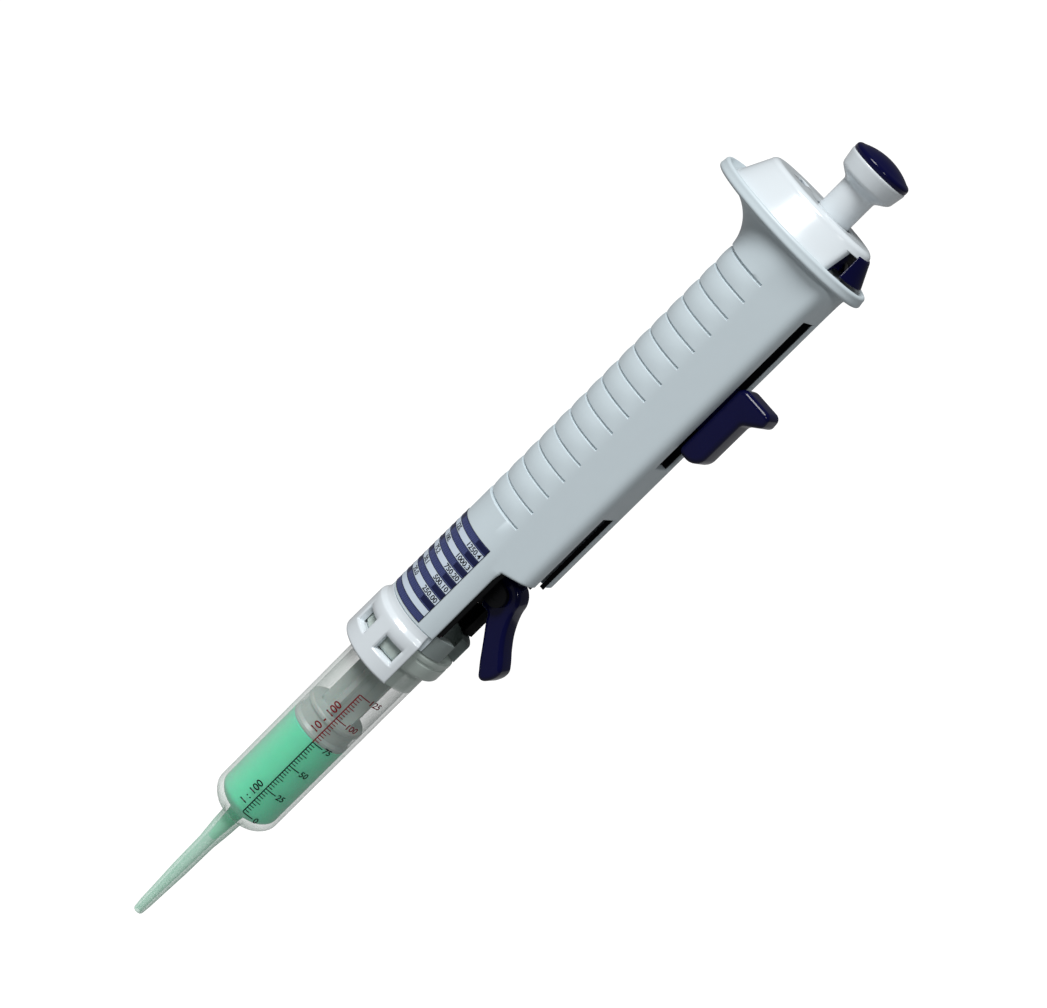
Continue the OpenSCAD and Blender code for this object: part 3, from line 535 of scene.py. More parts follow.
def satin_abs():
    """Injection-moulded ABS from a lightly spark-eroded mould: even satin grey with broad soft highlights."""
    material, tree, shader, place = new_material("satin ABS")
    # The real grain is about 0.05 mm; it is drawn at 0.18 mm so that it shows.
    fac = grained(tree, place, shader, 0.18, 0.004, 0.42, 0.04)
    tinted(tree, shader, fac, colours().body, 0.965)
    shader.inputs["IOR"].default_value = 1.53
    return material


def gloss_abs():
    """Injection-moulded ABS from a polished mould: white with clear highlights and a trace of flow ripple."""
    material, tree, shader, place = new_material("gloss ABS")
    fac = grained(tree, place, shader, 2.2, 0.006, 0.17, 0.03)
    tinted(tree, shader, fac, colours().white, 0.98)
    shader.inputs["IOR"].default_value = 1.53
    shader.inputs["Coat Weight"].default_value = 0.25
    shader.inputs["Coat Roughness"].default_value = 0.06
    return material


def navy_abs():
    """Polished navy ABS: nearly black out of the light, with narrow streaks where a lamp shows in it."""
    material, tree, shader, place = new_material("navy ABS")
    fac = grained(tree, place, shader, 1.6, 0.003, 0.13, 0.03)
    tinted(tree, shader, fac, colours().navy, 0.8)
    shader.inputs["Specular IOR Level"].default_value = 0.2
    return material


def black_abs():
    """Black acetal and ABS inside the body: dull, with a fine grain."""
    material, tree, shader, place = new_material("black ABS")
    fac = grained(tree, place, shader, 0.2, 0.004, 0.38, 0.06)
    tinted(tree, shader, fac, colours().black, 0.7)
    shader.inputs["Specular IOR Level"].default_value = 0.15
    return material


def smoke_pp():
    """Smoked polypropylene: grey, waxy and cloudy, so that light goes a little way in."""
    material, tree, shader, place = new_material("smoke polypropylene")
    fac = grained(tree, place, shader, 0.5, 0.003, 0.3, 0.05)
    tinted(tree, shader, fac, colours().smoke, 0.86)
    shader.inputs["Subsurface Weight"].default_value = 0.35
    shader.inputs["Subsurface Radius"].default_value = (0.9, 1.0, 0.95)
    shader.inputs["Subsurface Scale"].default_value = 2 * MM
    return material


def clear_pp():
    """Clarified polypropylene of the barrel: thin milk, see-through face on and denser towards its edges.

    The nozzle and the flange ring have thicker walls, so they are milkier than the barrel between them. A
    film of the liquid left in the nozzle tints it green.
    """
    material, tree, shader, place = new_material("clear polypropylene")
    fac = grained(tree, place, shader, 1.2, 0.003, 0.2, 0.04)
    plain_tint = tinted(tree, shader, fac, colours().barrel, 0.94)
    facing = add_node(tree, "ShaderNodeLayerWeight", {}, {"Blend": 0.3}).outputs["Facing"]
    milk = ramp(tree, facing, 0.1, 1.0, 0.16, 0.7)
    height = add_node(tree, "ShaderNodeSeparateXYZ", {}, {0: place}).outputs[2]
    nozzle = ramp(tree, height, 40 * MM, 45 * MM, 0.3, 0.0)
    ring = ramp(tree, height, 106.8 * MM, 107.2 * MM, 0.0, 0.55)
    thick = maths(tree, "ADD", nozzle, ring)
    thick = maths(tree, "ADD", milk, thick, True)
    tree.links.new(thick, shader.inputs["Alpha"])
    wet = ramp(tree, height, 40 * MM, 46 * MM, 1.0, 0.0)
    film = blended(tree, wet, plain_tint, tuple(colours().film_wet))
    tree.links.new(film, shader.inputs["Base Color"])
    shader.inputs["IOR"].default_value = 1.49
    return material


def piston_pe():
    """Polyethylene of the piston: grey, waxy, with turned edges."""
    material, tree, shader, place = new_material("piston polyethylene")
    fac = grained(tree, place, shader, 0.4, 0.003, 0.36, 0.05)
    tinted(tree, shader, fac, colours().piston, 0.88)
    shader.inputs["Subsurface Weight"].default_value = 0.3
    shader.inputs["Subsurface Scale"].default_value = 2 * MM
    return material


def green_liquid():
    """Dyed water: bright green, lit through on the side the light falls on, with a faint painted glow in its
    own colour all over.
    """
    material, tree, shader, place = new_material("dyed water")
    tinted(tree, shader, noise(tree, place, 14), colours().liquid, 0.93)
    shader.inputs["Roughness"].default_value = 0.3
    shader.inputs["IOR"].default_value = 1.33
    shader.inputs["Subsurface Weight"].default_value = 0.4
    shader.inputs["Subsurface Radius"].default_value = (0.2, 1.0, 0.7)
    shader.inputs["Subsurface Scale"].default_value = 4 * MM
    # Painted glow: a weak emission in the liquid's colour stands in for light that passes through the liquid
    # from behind.
    shader.inputs["Emission Color"].default_value = tuple(colours().liquid)
    shader.inputs["Emission Strength"].default_value = 0.1
    return material


def clear_lens():
    """Grey tinted acrylic window: glossy, and thin enough to read through."""
    material, tree, shader, place = new_material("clear acrylic")
    bump = add_node(tree, "ShaderNodeBump", {}, {"Height": noise(tree, place, 3), "Distance": 0.002 * MM})
    tree.links.new(bump.outputs[0], shader.inputs["Normal"])
    shader.inputs["Base Color"].default_value = tuple(colours().lens)
    shader.inputs["Alpha"].default_value = 0.45
    shader.inputs["Roughness"].default_value = 0.06
    shader.inputs["Specular IOR Level"].default_value = 0.25
    shader.inputs["IOR"].default_value = 1.49
    return material


def turned_steel():
    """Turned stainless steel: bright, with fine rings from the tool."""
    material, tree, shader, place = new_material("turned steel")
    # The wave texture draws 20 bands per unit at scale 1; the rings lie 0.3 mm apart.
    wave = add_node(tree, "ShaderNodeTexWave", {"bands_direction": "Z"}, {
        "Vector": place, "Scale": 1 / (0.3 * MM) / 20, "Distortion": 0.6, "Detail": 2.0})
    tree.links.new(ramp(tree, wave.outputs["Fac"], 0.0, 1.0, 0.2, 0.34), shader.inputs["Roughness"])
    shader.inputs["Base Color"].default_value = tuple(colours().steel)
    shader.inputs["Metallic"].default_value = 1.0
    return material


def printed_ink(name, tone):
    """Pad-printed ink: thin, matt, a little uneven."""
    material, tree, shader, place = new_material(name)
    tinted(tree, shader, noise(tree, place, 0.4), tone, 0.75)
    shader.inputs["Roughness"].default_value = 0.6
    shader.inputs["Specular IOR Level"].default_value = 0.08
    return material


def table_film(start, pitch):
    """Printed polyester film: slate bands drawn in fine lines, with dark blocks at their ends, on pale blue.

    Bands of one pitch alternate upwards from the start height. Along the girth, the angle about the axis
    picks the dark blocks.
    """
    material, tree, shader, place = new_material("printed film")
    axes = add_node(tree, "ShaderNodeSeparateXYZ", {}, {0: place})
    height = maths(tree, "DIVIDE", maths(tree, "SUBTRACT", axes.outputs[2], start * MM), pitch * MM)
    girth = maths(tree, "ARCTAN2", axes.outputs[1], axes.outputs[0])
    in_band = maths(tree, "FRACT", height)
    slate = maths(tree, "LESS_THAN", maths(tree, "FRACT", maths(tree, "DIVIDE", height, 2.0)), 0.5)
    lines_per_band = 6
    rings = maths(tree, "COSINE", maths(tree, "MULTIPLY", in_band, lines_per_band * math.tau))
    fine = maths(tree, "GREATER_THAN", rings, -0.1)
    inner = maths(tree, "MULTIPLY", maths(tree, "GREATER_THAN", in_band, 0.12),
                  maths(tree, "LESS_THAN", in_band, 0.9))
    right = maths(tree, "GREATER_THAN", girth, math.radians(-97))
    left = maths(tree, "LESS_THAN", girth, math.radians(BLOCK_END))
    ends = maths(tree, "MAXIMUM", right, left)
    lowest = maths(tree, "GREATER_THAN", height, 1.0)
    ends = maths(tree, "MULTIPLY", maths(tree, "MULTIPLY", ends, lowest), inner)
    band, block, film = (tuple(c) for c in (colours().band, colours().block, colours().film))
    lined = blended(tree, maths(tree, "MULTIPLY", fine, 0.9), band, block)
    banded = blended(tree, slate, film, blended(tree, ends, lined, block))
    tree.links.new(banded, shader.inputs["Base Color"])
    shader.inputs["Roughness"].default_value = 0.4
    shader.inputs["Specular IOR Level"].default_value = 0.2
    return material


def once(make, *key):
    """The material that a function makes from its key, made only the first time."""
    name = (make.__name__, *key)
    if name not in MADE:
        MADE[name] = make(*key)
    return MADE[name]


# ---------------------------------------------------------------- body

def body_outline(s, t):
    """Distance from the axis to the body's outline, and its outward normal, in directions t (radians).

    The back is a circle, the sides are tangents from it to two edge circles, and the front is flat.
    """
    a = np.abs(t)
    ex = s.front - s.edge
    reach = math.hypot(ex, s.edge_y)
    side = math.atan2(s.edge_y, ex) + math.acos((s.back - s.edge) / reach)
    edge_end = math.atan2(s.edge_y + s.edge * math.sin(side), ex + s.edge * math.cos(side))
    front_end = math.atan2(s.edge_y, s.front)
    u = ex * np.cos(a) + s.edge_y * np.sin(a)
    v = ex * np.sin(a) - s.edge_y * np.cos(a)
    round_edge = u + np.sqrt(np.clip(s.edge ** 2 - v ** 2, 0, None))
    zones = [a >= side, a >= edge_end, a >= front_end]
    far = np.select(zones, [s.back + 0 * a, s.back / np.cos(a - side), round_edge], s.front / np.cos(a))
    at = np.stack([far * np.cos(a), far * np.sin(a)], -1)
    corner = np.stack([at[..., 0] - ex, at[..., 1] - s.edge_y], -1) / s.edge
    radial = np.stack([np.cos(a), np.sin(a)], -1)
    flat = np.broadcast_to([math.cos(side), math.sin(side)], at.shape)
    ahead = np.broadcast_to([1.0, 0.0], at.shape)
    normal = np.select([z[..., None] for z in zones], [radial, flat, corner], ahead)
    normal = normal * np.stack([np.ones_like(t), np.where(t < 0, -1.0, 1.0)], -1)
    return far, normal


def oval(t, a, b, x):
    """Distance from the axis to an ellipse whose centre lies at x, in directions t."""
    p = (np.cos(t) / a) ** 2 + (np.sin(t) / b) ** 2
    q = np.cos(t) * x / a ** 2
    return (q + np.sqrt(q ** 2 - p * ((x / a) ** 2 - 1))) / p


def body_columns(s):
    """Directions round the body: even steps, and close ones beside the edges of slots, trough and grooves."""
    slot = math.degrees(math.atan2(s.slot, s.front))
    trough, groove = math.degrees(s.trough), math.degrees(s.groove_end)
    near = [slot + d for d in (-1, -0.4, 0.4, 0.9, 1.5, 2.4)]
    near += [trough + d for d in (-1.2, -0.5, 0.5, 1.1, 1.9, 2.9, 4)]
    near += [groove + d for d in (-1.6, -0.6, -0.2, 0.7, 1.6)]
    even = np.concatenate([np.arange(0, slot, 4), np.arange(slot, 71, 2.6), np.arange(71, 180, 2.9)])
    half = merged([0, slot, trough, groove, 180], list(even) + near, 0.18)
    return np.radians(np.concatenate([-half[:0:-1], half[:-1]]))


def groove_rows(s):
    """Heights that draw each groove's two flanks and the crowned pad above it."""
    shape = np.array([-0.66, -0.5, -0.43, -0.32, -0.1, 0.1, 0.32, 0.43, 0.5, 0.66]) * s.groove_width
    pads = np.array([1.5, 2.6, 3.6, 4.7])
    centres = s.groove_start + np.arange(s.grooves) * s.groove_pitch
    return (centres[:, None] + np.concatenate([shape, pads])).ravel()


def groove_fall(s, z, a):
    """Depth of the grip below the body: round-bottomed grooves, and pads that fall a little towards them.

    A groove ends square at its direction; the fall of the pads fades out further round the back.
    """
    last = s.groove_start + (s.grooves - 1) * s.groove_pitch
    n = np.clip(np.round((z - s.groove_start) / s.groove_pitch), 0, s.grooves - 1)
    off = np.abs(z - s.groove_start - n * s.groove_pitch)
    half = s.groove_width / 2
    cut = s.groove_depth * np.clip(1 - (off / half) ** 4, 0, 1)
    pad = np.clip(off - half, 0, None) / (s.groove_pitch / 2 - half)
    pad = s.pad_fall * np.clip(1 - pad, 0, 1) ** 2
    outside = (z < s.groove_start - half) | (z > last + half)
    end = math.degrees(s.groove_end)
    squared = smooth(np.degrees(a), end - 0.4, end + 0.3)
    faded = smooth(np.degrees(a), end + 2, end + 24)
    return np.where(outside, 0, cut * squared + pad * faded)


def collar_top():
    """Height of the tail's step, just above the collar."""
    return high("syringe_collar")[2] + 0.05


def tail_radius(s, z):
    """Radius of the tail's cone at a height, from the collar to the body's straight part."""
    return s.tail - (s.tail - s.back) * (z - collar_top()) / (s.groove_start - 2 - collar_top())


def housing_rows(s, base, sweep, flange):
    """Heights of the housing's rows: those up to the sweep's foot, and those on the sweep."""
    step = collar_top()
    near = np.array([0.08, 0.2, 0.38, 0.6])
    edges = [s.lower_slot_end, s.slot_start, s.slot_end]
    grooves = groove_rows(s)
    must = [base, step, step + 0.02, s.shoulder, *edges, sweep]
    climb = [base + 0.5, base + 2.5, step + 0.3, *np.arange(step + 3, s.shoulder - 4, 4), *grooves]
    climb += [s.shoulder + d for d in (-3, -1.5, 1.2, 2.2, 4, 7)]
    climb += [e + d for e in (s.shoulder, *edges) for d in (*near, *-near)]
    straight = merged(must, climb, 0.05)
    u = np.linspace(0, np.pi / 2, 22)[1:]
    swept = np.unique(np.concatenate([sweep + s.sweep * np.sin(u), grooves[grooves > sweep]]))
    return straight[straight <= sweep + 1e-6], swept[swept <= flange + 1e-6]


def housing_reach(s, rows, t, far, blend, sweep):
    """Distance of the outside from the axis, over the tail's cone, the body's outline, grooves and sweep."""
    above_step = rows > collar_top() + 0.01
    tail = np.clip(tail_radius(s, rows), s.back, s.tail)
    tail = np.where(above_step, tail, s.bore + s.wall - 0.4)
    tail = tail - rounding(np.abs(rows - collar_top() - 0.02), 0.3) * above_step
    reach = tail + blend * np.clip(far[None] - tail, 0, None)
    top_groove = s.groove_start + (s.grooves - 1) * s.groove_pitch + 0.62 * s.groove_width
    reach = reach - groove_fall(s, rows, np.abs(t)[None]) * (rows < top_groove)
    rise = np.clip((rows - sweep) / s.sweep, 0, 1)
    out = 1 - np.sqrt(np.clip(1 - rise ** 2, 0, 1))
    rim = np.maximum(oval(t, s.flange_a - 3, s.flange_b - 1.8, s.flange_x), far + 0.2)
    return reach * (1 - out) + out * rim[None]


def shoulder_lift(s, t, far):
    """Height of the sloping shoulder over its foot in directions t, with nothing left beside the trough."""
    a = np.abs(t)
    foot = s.bore * math.cos(s.trough) + 0.7
    crest = (np.clip(far * np.cos(a), foot, s.front) - foot) * math.tan(s.slope)
    return np.where(a <= s.trough + 1e-6, crest, crest * (1 - smooth(a, s.trough, s.trough + 0.3)))


def edge_drop(s, rows, t, reach):
    """Depth by which the outside is rounded along the edges of the slots and the trough."""
    a = np.abs(t)[None]
    y = reach * np.abs(np.sin(t))[None]
    clear = 9.0
    gap = np.full_like(reach, clear)
    for start, end in ((0, s.lower_slot_end), (s.slot_start, s.slot_end)):
        past = np.clip(np.maximum(rows - end, start - rows), 0, None)
        distance = np.hypot(np.clip(y - s.slot, 0, None), past)
        gap = np.minimum(gap, np.where(a < math.radians(60), distance, clear))
    beside = np.hypot(np.clip(a - s.trough, 0, None) * reach, np.clip(rows - s.shoulder, 0, None))
    return np.maximum(rounding(gap, 0.45), rounding(beside, 0.8)) * (rows > collar_top() + 0.01)


def housing_inside(s, rows, radial, far, normal, blend):
    """Places of the inside: one wall within the outline above the shoulder, and the round bore elsewhere."""
    inside = (radial * far[None, :, None] - normal[None] * s.wall) * (blend > 0)[..., None]
    far_in = np.linalg.norm(inside, axis=-1)
    walled = (rows < s.slot_end + 3) & (blend > 0.5)
    reach = np.where(walled, np.maximum(far_in, s.bore), s.bore)
    way = np.where(far_in[..., None] > 1, inside / np.maximum(far_in, 1)[..., None], radial)
    way = np.where((reach > s.bore)[..., None], way, radial)
    return way * reach[..., None]


def flange_rows(s, t, radial, flange, deck_low):
    """Rows over the flange's rim, lip and deck, and their partners along the bore and under the deck."""
    v = np.linspace(0, np.pi / 2, 6)
    inset = np.concatenate([[2.6, 2.0, 1.5], 1 - np.sin(v), 0.08 * np.array([1, 2, 3]),
                            0.24 + 0.9 * (1 - np.cos(v)), [1.3, 1.6, 2.1, 2.7, 3.2]])
    up = s.flange_h
    level = flange + np.concatenate([
        [0, 0.02, 0.1], 0.2 + 0.9 * (1 - np.cos(v)), up * np.array([0.42, 0.55, 0.68]),
        up - 0.9 * (1 - np.sin(v)), up - np.array([0.03, 0.18, 0.6, 0.86, 0.9])])
    across = np.minimum(inset, 2.2) * np.where(inset > 1.4, 0.9, 1)
    across[:3] = 1.75, 1.65, 1.4
    ring = np.stack([oval(t, s.flange_a - i, s.flange_b - j, s.flange_x) for i, j in zip(inset, across)])
    inward = np.linspace(0, 1, 6)[1:]
    deck = ring[-1][None] * (1 - inward[:, None]) + s.deck_hole * inward[:, None]
    over = np.concatenate([ring, deck])
    over_level = np.concatenate([level, np.full(len(inward), level[-1])])
    under = np.concatenate([np.full(len(ring), s.bore), s.bore + (s.deck_hole - s.bore) * inward])
    under_level = np.concatenate([np.linspace(deck_low - 0.55, deck_low, len(ring)),
                                  np.full(len(inward), deck_low)])
    flat = np.zeros((*over.shape, 1))
    top = np.concatenate([radial * over[..., None], flat + over_level[:, None, None]], -1)
    below = np.concatenate([radial * (flat + under[:, None, None]), flat + under_level[:, None, None]], -1)
    return top, below


def housing_openings(s, rows, t, over):
    """Cells that the trough and the two slots take out of the housing's grid."""
    middle = np.concatenate([(rows[1:, 0] + rows[:-1, 0]) / 2, np.full(over, s.slot_end + 99)])[:, None]
    centre = np.abs((t + np.append(t[1:], np.pi)) / 2)[None]
    slot = math.atan2(s.slot, s.front)
    gone = (middle < s.shoulder) & (centre < s.trough)
    gone |= (middle < s.lower_slot_end) & (centre < slot)
    gone |= (middle > s.slot_start) & (middle < s.slot_end) & (centre < slot)
    return gone


def build_housing(s):
    """The grey moulding as one walled shell: tail, trough, shoulder, slots, grip, sweep, flange and deck.

    Rows climb the outside, go over the flange's rim and in along the deck; each has its partner inside.
    """
    flange = high("housing")[2] - s.flange_h
    sweep = flange - s.sweep
    deck_low = flange - 1.8
    t = body_columns(s)
    radial = np.stack([np.cos(t), np.sin(t)], -1)[None]
    far, normal = body_outline(s, t)
    straight, swept = housing_rows(s, low("housing")[2], sweep, flange)
    rows = np.concatenate([straight, swept])[:, None]
    blend = smooth(rows, s.shoulder - 3, s.shoulder - 0.1)
    reach = housing_reach(s, rows, t, far, blend, sweep)

    lift = shoulder_lift(s, t, far)[None]
    upper = rows >= s.shoulder
    above = np.clip(1 - (rows - s.shoulder) / (s.groove_start - 1 - s.shoulder), 0, 1)
    below = np.clip((rows - s.shoulder + 9) / 9, 0, 1)
    height = rows + lift * np.where(upper, above, below)
    in_height = height - 0.3 * lift * upper * above
    in_height[len(straight):] = np.linspace(straight[-1], deck_low - 0.6, len(swept) + 1)[1:, None]

    facing = radial * (1 - blend[..., None]) + normal[None] * blend[..., None]
    facing = facing / np.linalg.norm(facing, axis=-1, keepdims=True)
    outside = radial * reach[..., None] - facing * edge_drop(s, rows, t, reach)[..., None]
    inside = housing_inside(s, rows, radial, far, normal, blend)
    top, under = flange_rows(s, t, radial, flange, deck_low)
    outer = np.concatenate([np.concatenate([outside, height[..., None]], -1), top])
    inner = np.concatenate([np.concatenate([inside, in_height[..., None]], -1), under])
    points, faces = shell(outer, inner, ~housing_openings(s, rows, t, len(top)))
    piece("housing_shell", points, faces, "housing", once(satin_abs), ["housing"], 38)


def build_slot_shade(s):
    """Black strips on the sides of the two front slots, short of the body's face: painted shade on the slots'
    grey sides.
    """
    x = s.front - np.array([1.9, 0.6])
    y = s.slot + np.array([-0.25, 0.25])
    quads = np.array([[0, 1, 3, 2], [4, 6, 7, 5], [0, 4, 5, 1], [2, 3, 7, 6], [0, 2, 6, 4], [1, 5, 7, 3]])
    # Painted shade: black strips darken the slots' sides, where they lie in shade.
    for name, start, end in (("lower_slot_painted_shade", s.shoulder + 1.5, s.lower_slot_end),
                             ("upper_slot_painted_shade", s.slot_start, s.slot_end)):
        z = np.array([start + 0.02, end - 0.02])
        strip = np.stack(np.meshgrid(x, y, z, indexing="ij"), -1).reshape(-1, 3)
        points = np.concatenate([strip * [1, -1, 1], strip])
        faces = np.concatenate([quads[:, ::-1], quads + len(strip)])
        piece(name, points, [faces], "housing", once(black_abs))


# ---------------------------------------------------------------- collar

def collar_rows(s, foot, top, r, barrel, cuts):
    """Heights and radii of the collar's rows, from the foot's inner edge up the outside to the top."""
    outline = softened([
        [barrel, foot, 0], [r - 0.45, foot, 0.4], [r, foot + 0.55, 0.3], [r - 0.15, top - 4.55, 0.5],
        [r - 0.25, top - 3.7, 0.22], [s.tail + 0.3, top - 2.35, 0.3], [s.tail + 0.05, top - 1.15, 0.4],
        [s.tail, top, 0]], 5, False)
    near = [c + d for c in cuts for d in (-0.7, -0.45, -0.25, -0.1, 0.1)]
    extra = [foot + 1.5, foot + 3.2, *cuts, *near, foot + 7, foot + 8.8, foot + 12]
    heights = np.concatenate([outline[:, 1], extra])
    reaches = np.concatenate([outline[:, 0], np.interp(extra, outline[4:, 1], outline[4:, 0])])
    order = np.lexsort((reaches, np.round(heights, 5)))
    return heights[order], reaches[order]


def collar_columns(half, sides):
    """Directions round the collar from one end to the other, closer beside its ends and windows."""
    near = [v + d for v in sides for d in (-0.045, -0.028, -0.014, -0.005, 0.005)]
    near += [half + d for d in (0.006, 0.015, 0.03)]
    near += [math.tau - half - d for d in (0.006, 0.015, 0.03)]
    near = [v for v in near if half < v < math.tau - half]
    even = np.linspace(half, math.tau - half, 110)
    return merged([half, math.tau - half, *sides], [*even, *near], 0.003)


def build_collar(s):
    """The white collar as a walled shell: an open ring with five square windows and a bevelled ridge.

    Rows follow the outside profile from the foot's inner edge to the top, with partners along the bore.
    """
    foot, top = low("syringe_collar")[2], high("syringe_collar")[2]
    r = -low("syringe_collar")[0]
    bore, barrel = s.bore + s.wall - 0.35, 10.9
    step = foot + 5.4
    window_low, window_high, window_w = foot + 5.25, foot + 10.45, 6.6
    half = math.radians(58.7)
    angles = np.radians([81, 126.4, 180, 233.6, 279])
    wide = window_w / 2 / r
    rows_z, rows_r = collar_rows(s, foot, top, r, barrel, [window_low, window_high])
    t = collar_columns(half, np.concatenate([angles - wide, angles + wide]))

    in_foot = rows_z < foot + 0.6
    count = np.arange(len(rows_z))
    inner_r = np.where(in_foot, np.clip(rows_r, barrel, bore), bore)
    inner_z = np.where(in_foot, step + 0.02 * count / len(rows_z), np.maximum(rows_z, step + 0.05))
    inner_z = np.maximum.accumulate(inner_z + 1e-4 * count)

    zz, tt = rows_z[:, None], t[None]
    gap = np.full((len(rows_z), len(t)), 9.0)
    for angle in angles:
        across = np.clip(np.abs(tt - angle) - wide, 0, None) * r
        along = np.clip(np.maximum(window_low - zz, zz - window_high), 0, None)
        gap = np.minimum(gap, np.maximum(across, along) + 0.3 * np.minimum(across, along))
    end = np.minimum(tt - half, math.tau - half - tt) * r
    drop = np.maximum(np.clip(0.42 - gap, 0, None), rounding(end, 0.4)) * ~in_foot[:, None]
    reach = rows_r[:, None] - drop
    outer = np.stack([reach * np.cos(tt), reach * np.sin(tt), zz + 0 * reach], -1)
    flat = inner_r[:, None] + 0 * reach
    inner = np.stack([flat * np.cos(tt), flat * np.sin(tt), inner_z[:, None] + 0 * reach], -1)

    mid_z = ((rows_z[1:] + rows_z[:-1]) / 2)[:, None]
    mid_t = ((t[1:] + t[:-1]) / 2)[None]
    gone = np.zeros((len(rows_z) - 1, len(t) - 1), bool)
    for angle in angles:
        gone |= (np.abs(mid_t - angle) < wide) & (mid_z > window_low) & (mid_z < window_high)
    points, faces = shell(outer, inner, ~gone, wrap=False)
    piece("collar_shell", points, faces, "housing", once(gloss_abs), ["syringe_collar"], 42)


# ---------------------------------------------------------------- label

def on_tail(s, lift):
    """Maps flat (girth, height) millimetres on the tail's cone, a little above it."""

    def place(points, extra):
        r = tail_radius(s, points[:, 1]) + lift + extra
        t = points[:, 0] / s.back
        return np.stack([r * np.cos(t), r * np.sin(t), points[:, 1]], 1)

    return place


def build_table(s):
    """The dosing table as a printed film: bands, plain figures in its pale bands, and a thin frame."""
    start, bands, pitch = 127.9, 13, 2.185
    end = start + bands * pitch
    right, left = math.radians(-78.3) * s.back, math.radians(-166) * s.back
    girth, heights = np.linspace(left, right, 60), np.linspace(start, end, bands + 1)
    flat = np.stack(np.meshgrid(girth, heights), -1).reshape(-1, 2)
    place = on_tail(s, 0.03)
    shape = (len(heights), len(girth), 3)
    keep = np.ones((len(heights) - 1, len(girth) - 1), bool)
    over, under = place(flat, 0.05).reshape(shape), place(flat, -0.06).reshape(shape)
    points, faces = shell(over, under, keep, wrap=False)
    piece("table_film", points, faces, "housing", once(table_film, start, pitch))

    prints = []
    for k in range(5):
        base = start + (2 * k + 3) * pitch + 0.3
        count = figures(f"{(k + 1) * 250}.{k}0"[:6], 1.5, 0.98)
        prints.append(moved(count, right - 0.6 - count[0][:, 0].max(), base))
        step = figures(f"{(k + 1) * 25}.{k}"[:4], 1.5, 0.98)
        prints.append(moved(step, math.radians(BLOCK_END) * s.back + 0.4, base))
    line = 0.16
    parts = 30
    prints.append(bar(right - line, start, right, end, 4))
    for z in heights:
        for x in np.linspace(left, right, parts + 1)[:-1]:
            prints.append(bar(x, z - line / 2, x + (right - left) / parts, z + line / 2))
    points, faces = raised(prints, on_tail(s, 0.11), 0.04)
    piece("table_figures", points, faces, "housing",
          once(printed_ink, "black print", tuple(colours().ink)))


# ---------------------------------------------------------------- head

def head_rings(s, grow, levels, insets, front_n, back_n):
    """Ovals of the head at each level, whose columns are split at the notch's plane, and their angles."""
    a = s.head_a - grow - insets
    b = s.head_b - grow - insets
    cut = np.arccos(np.clip((s.notch - s.head_x) / a, -0.99, 0.995))[:, None]
    share, back = np.linspace(0, 1, front_n), np.linspace(0, 1, back_n)[1:]
    half = np.concatenate([cut * share, cut + (np.pi - cut) * back], 1)
    u = np.concatenate([half, 2 * np.pi - half[:, -2:0:-1]], 1)
    x = s.head_x + a[:, None] * np.cos(u)
    y = b[:, None] * np.sin(u)
    return np.stack([x, y, levels[:, None] + 0 * x], -1), u


def to_hole(ring, radius, steps):
    """Rows of (x, y) that run from a ring of points in to a round hole about the axis."""
    t = np.linspace(0, 1, steps + 1)[1:, None, None]
    ways = np.arctan2(ring[:, 1], ring[:, 0])
    circle = radius * np.stack([np.cos(ways), np.sin(ways)], -1)
    return ring[None, :, :2] * (1 - t) + circle[None] * t


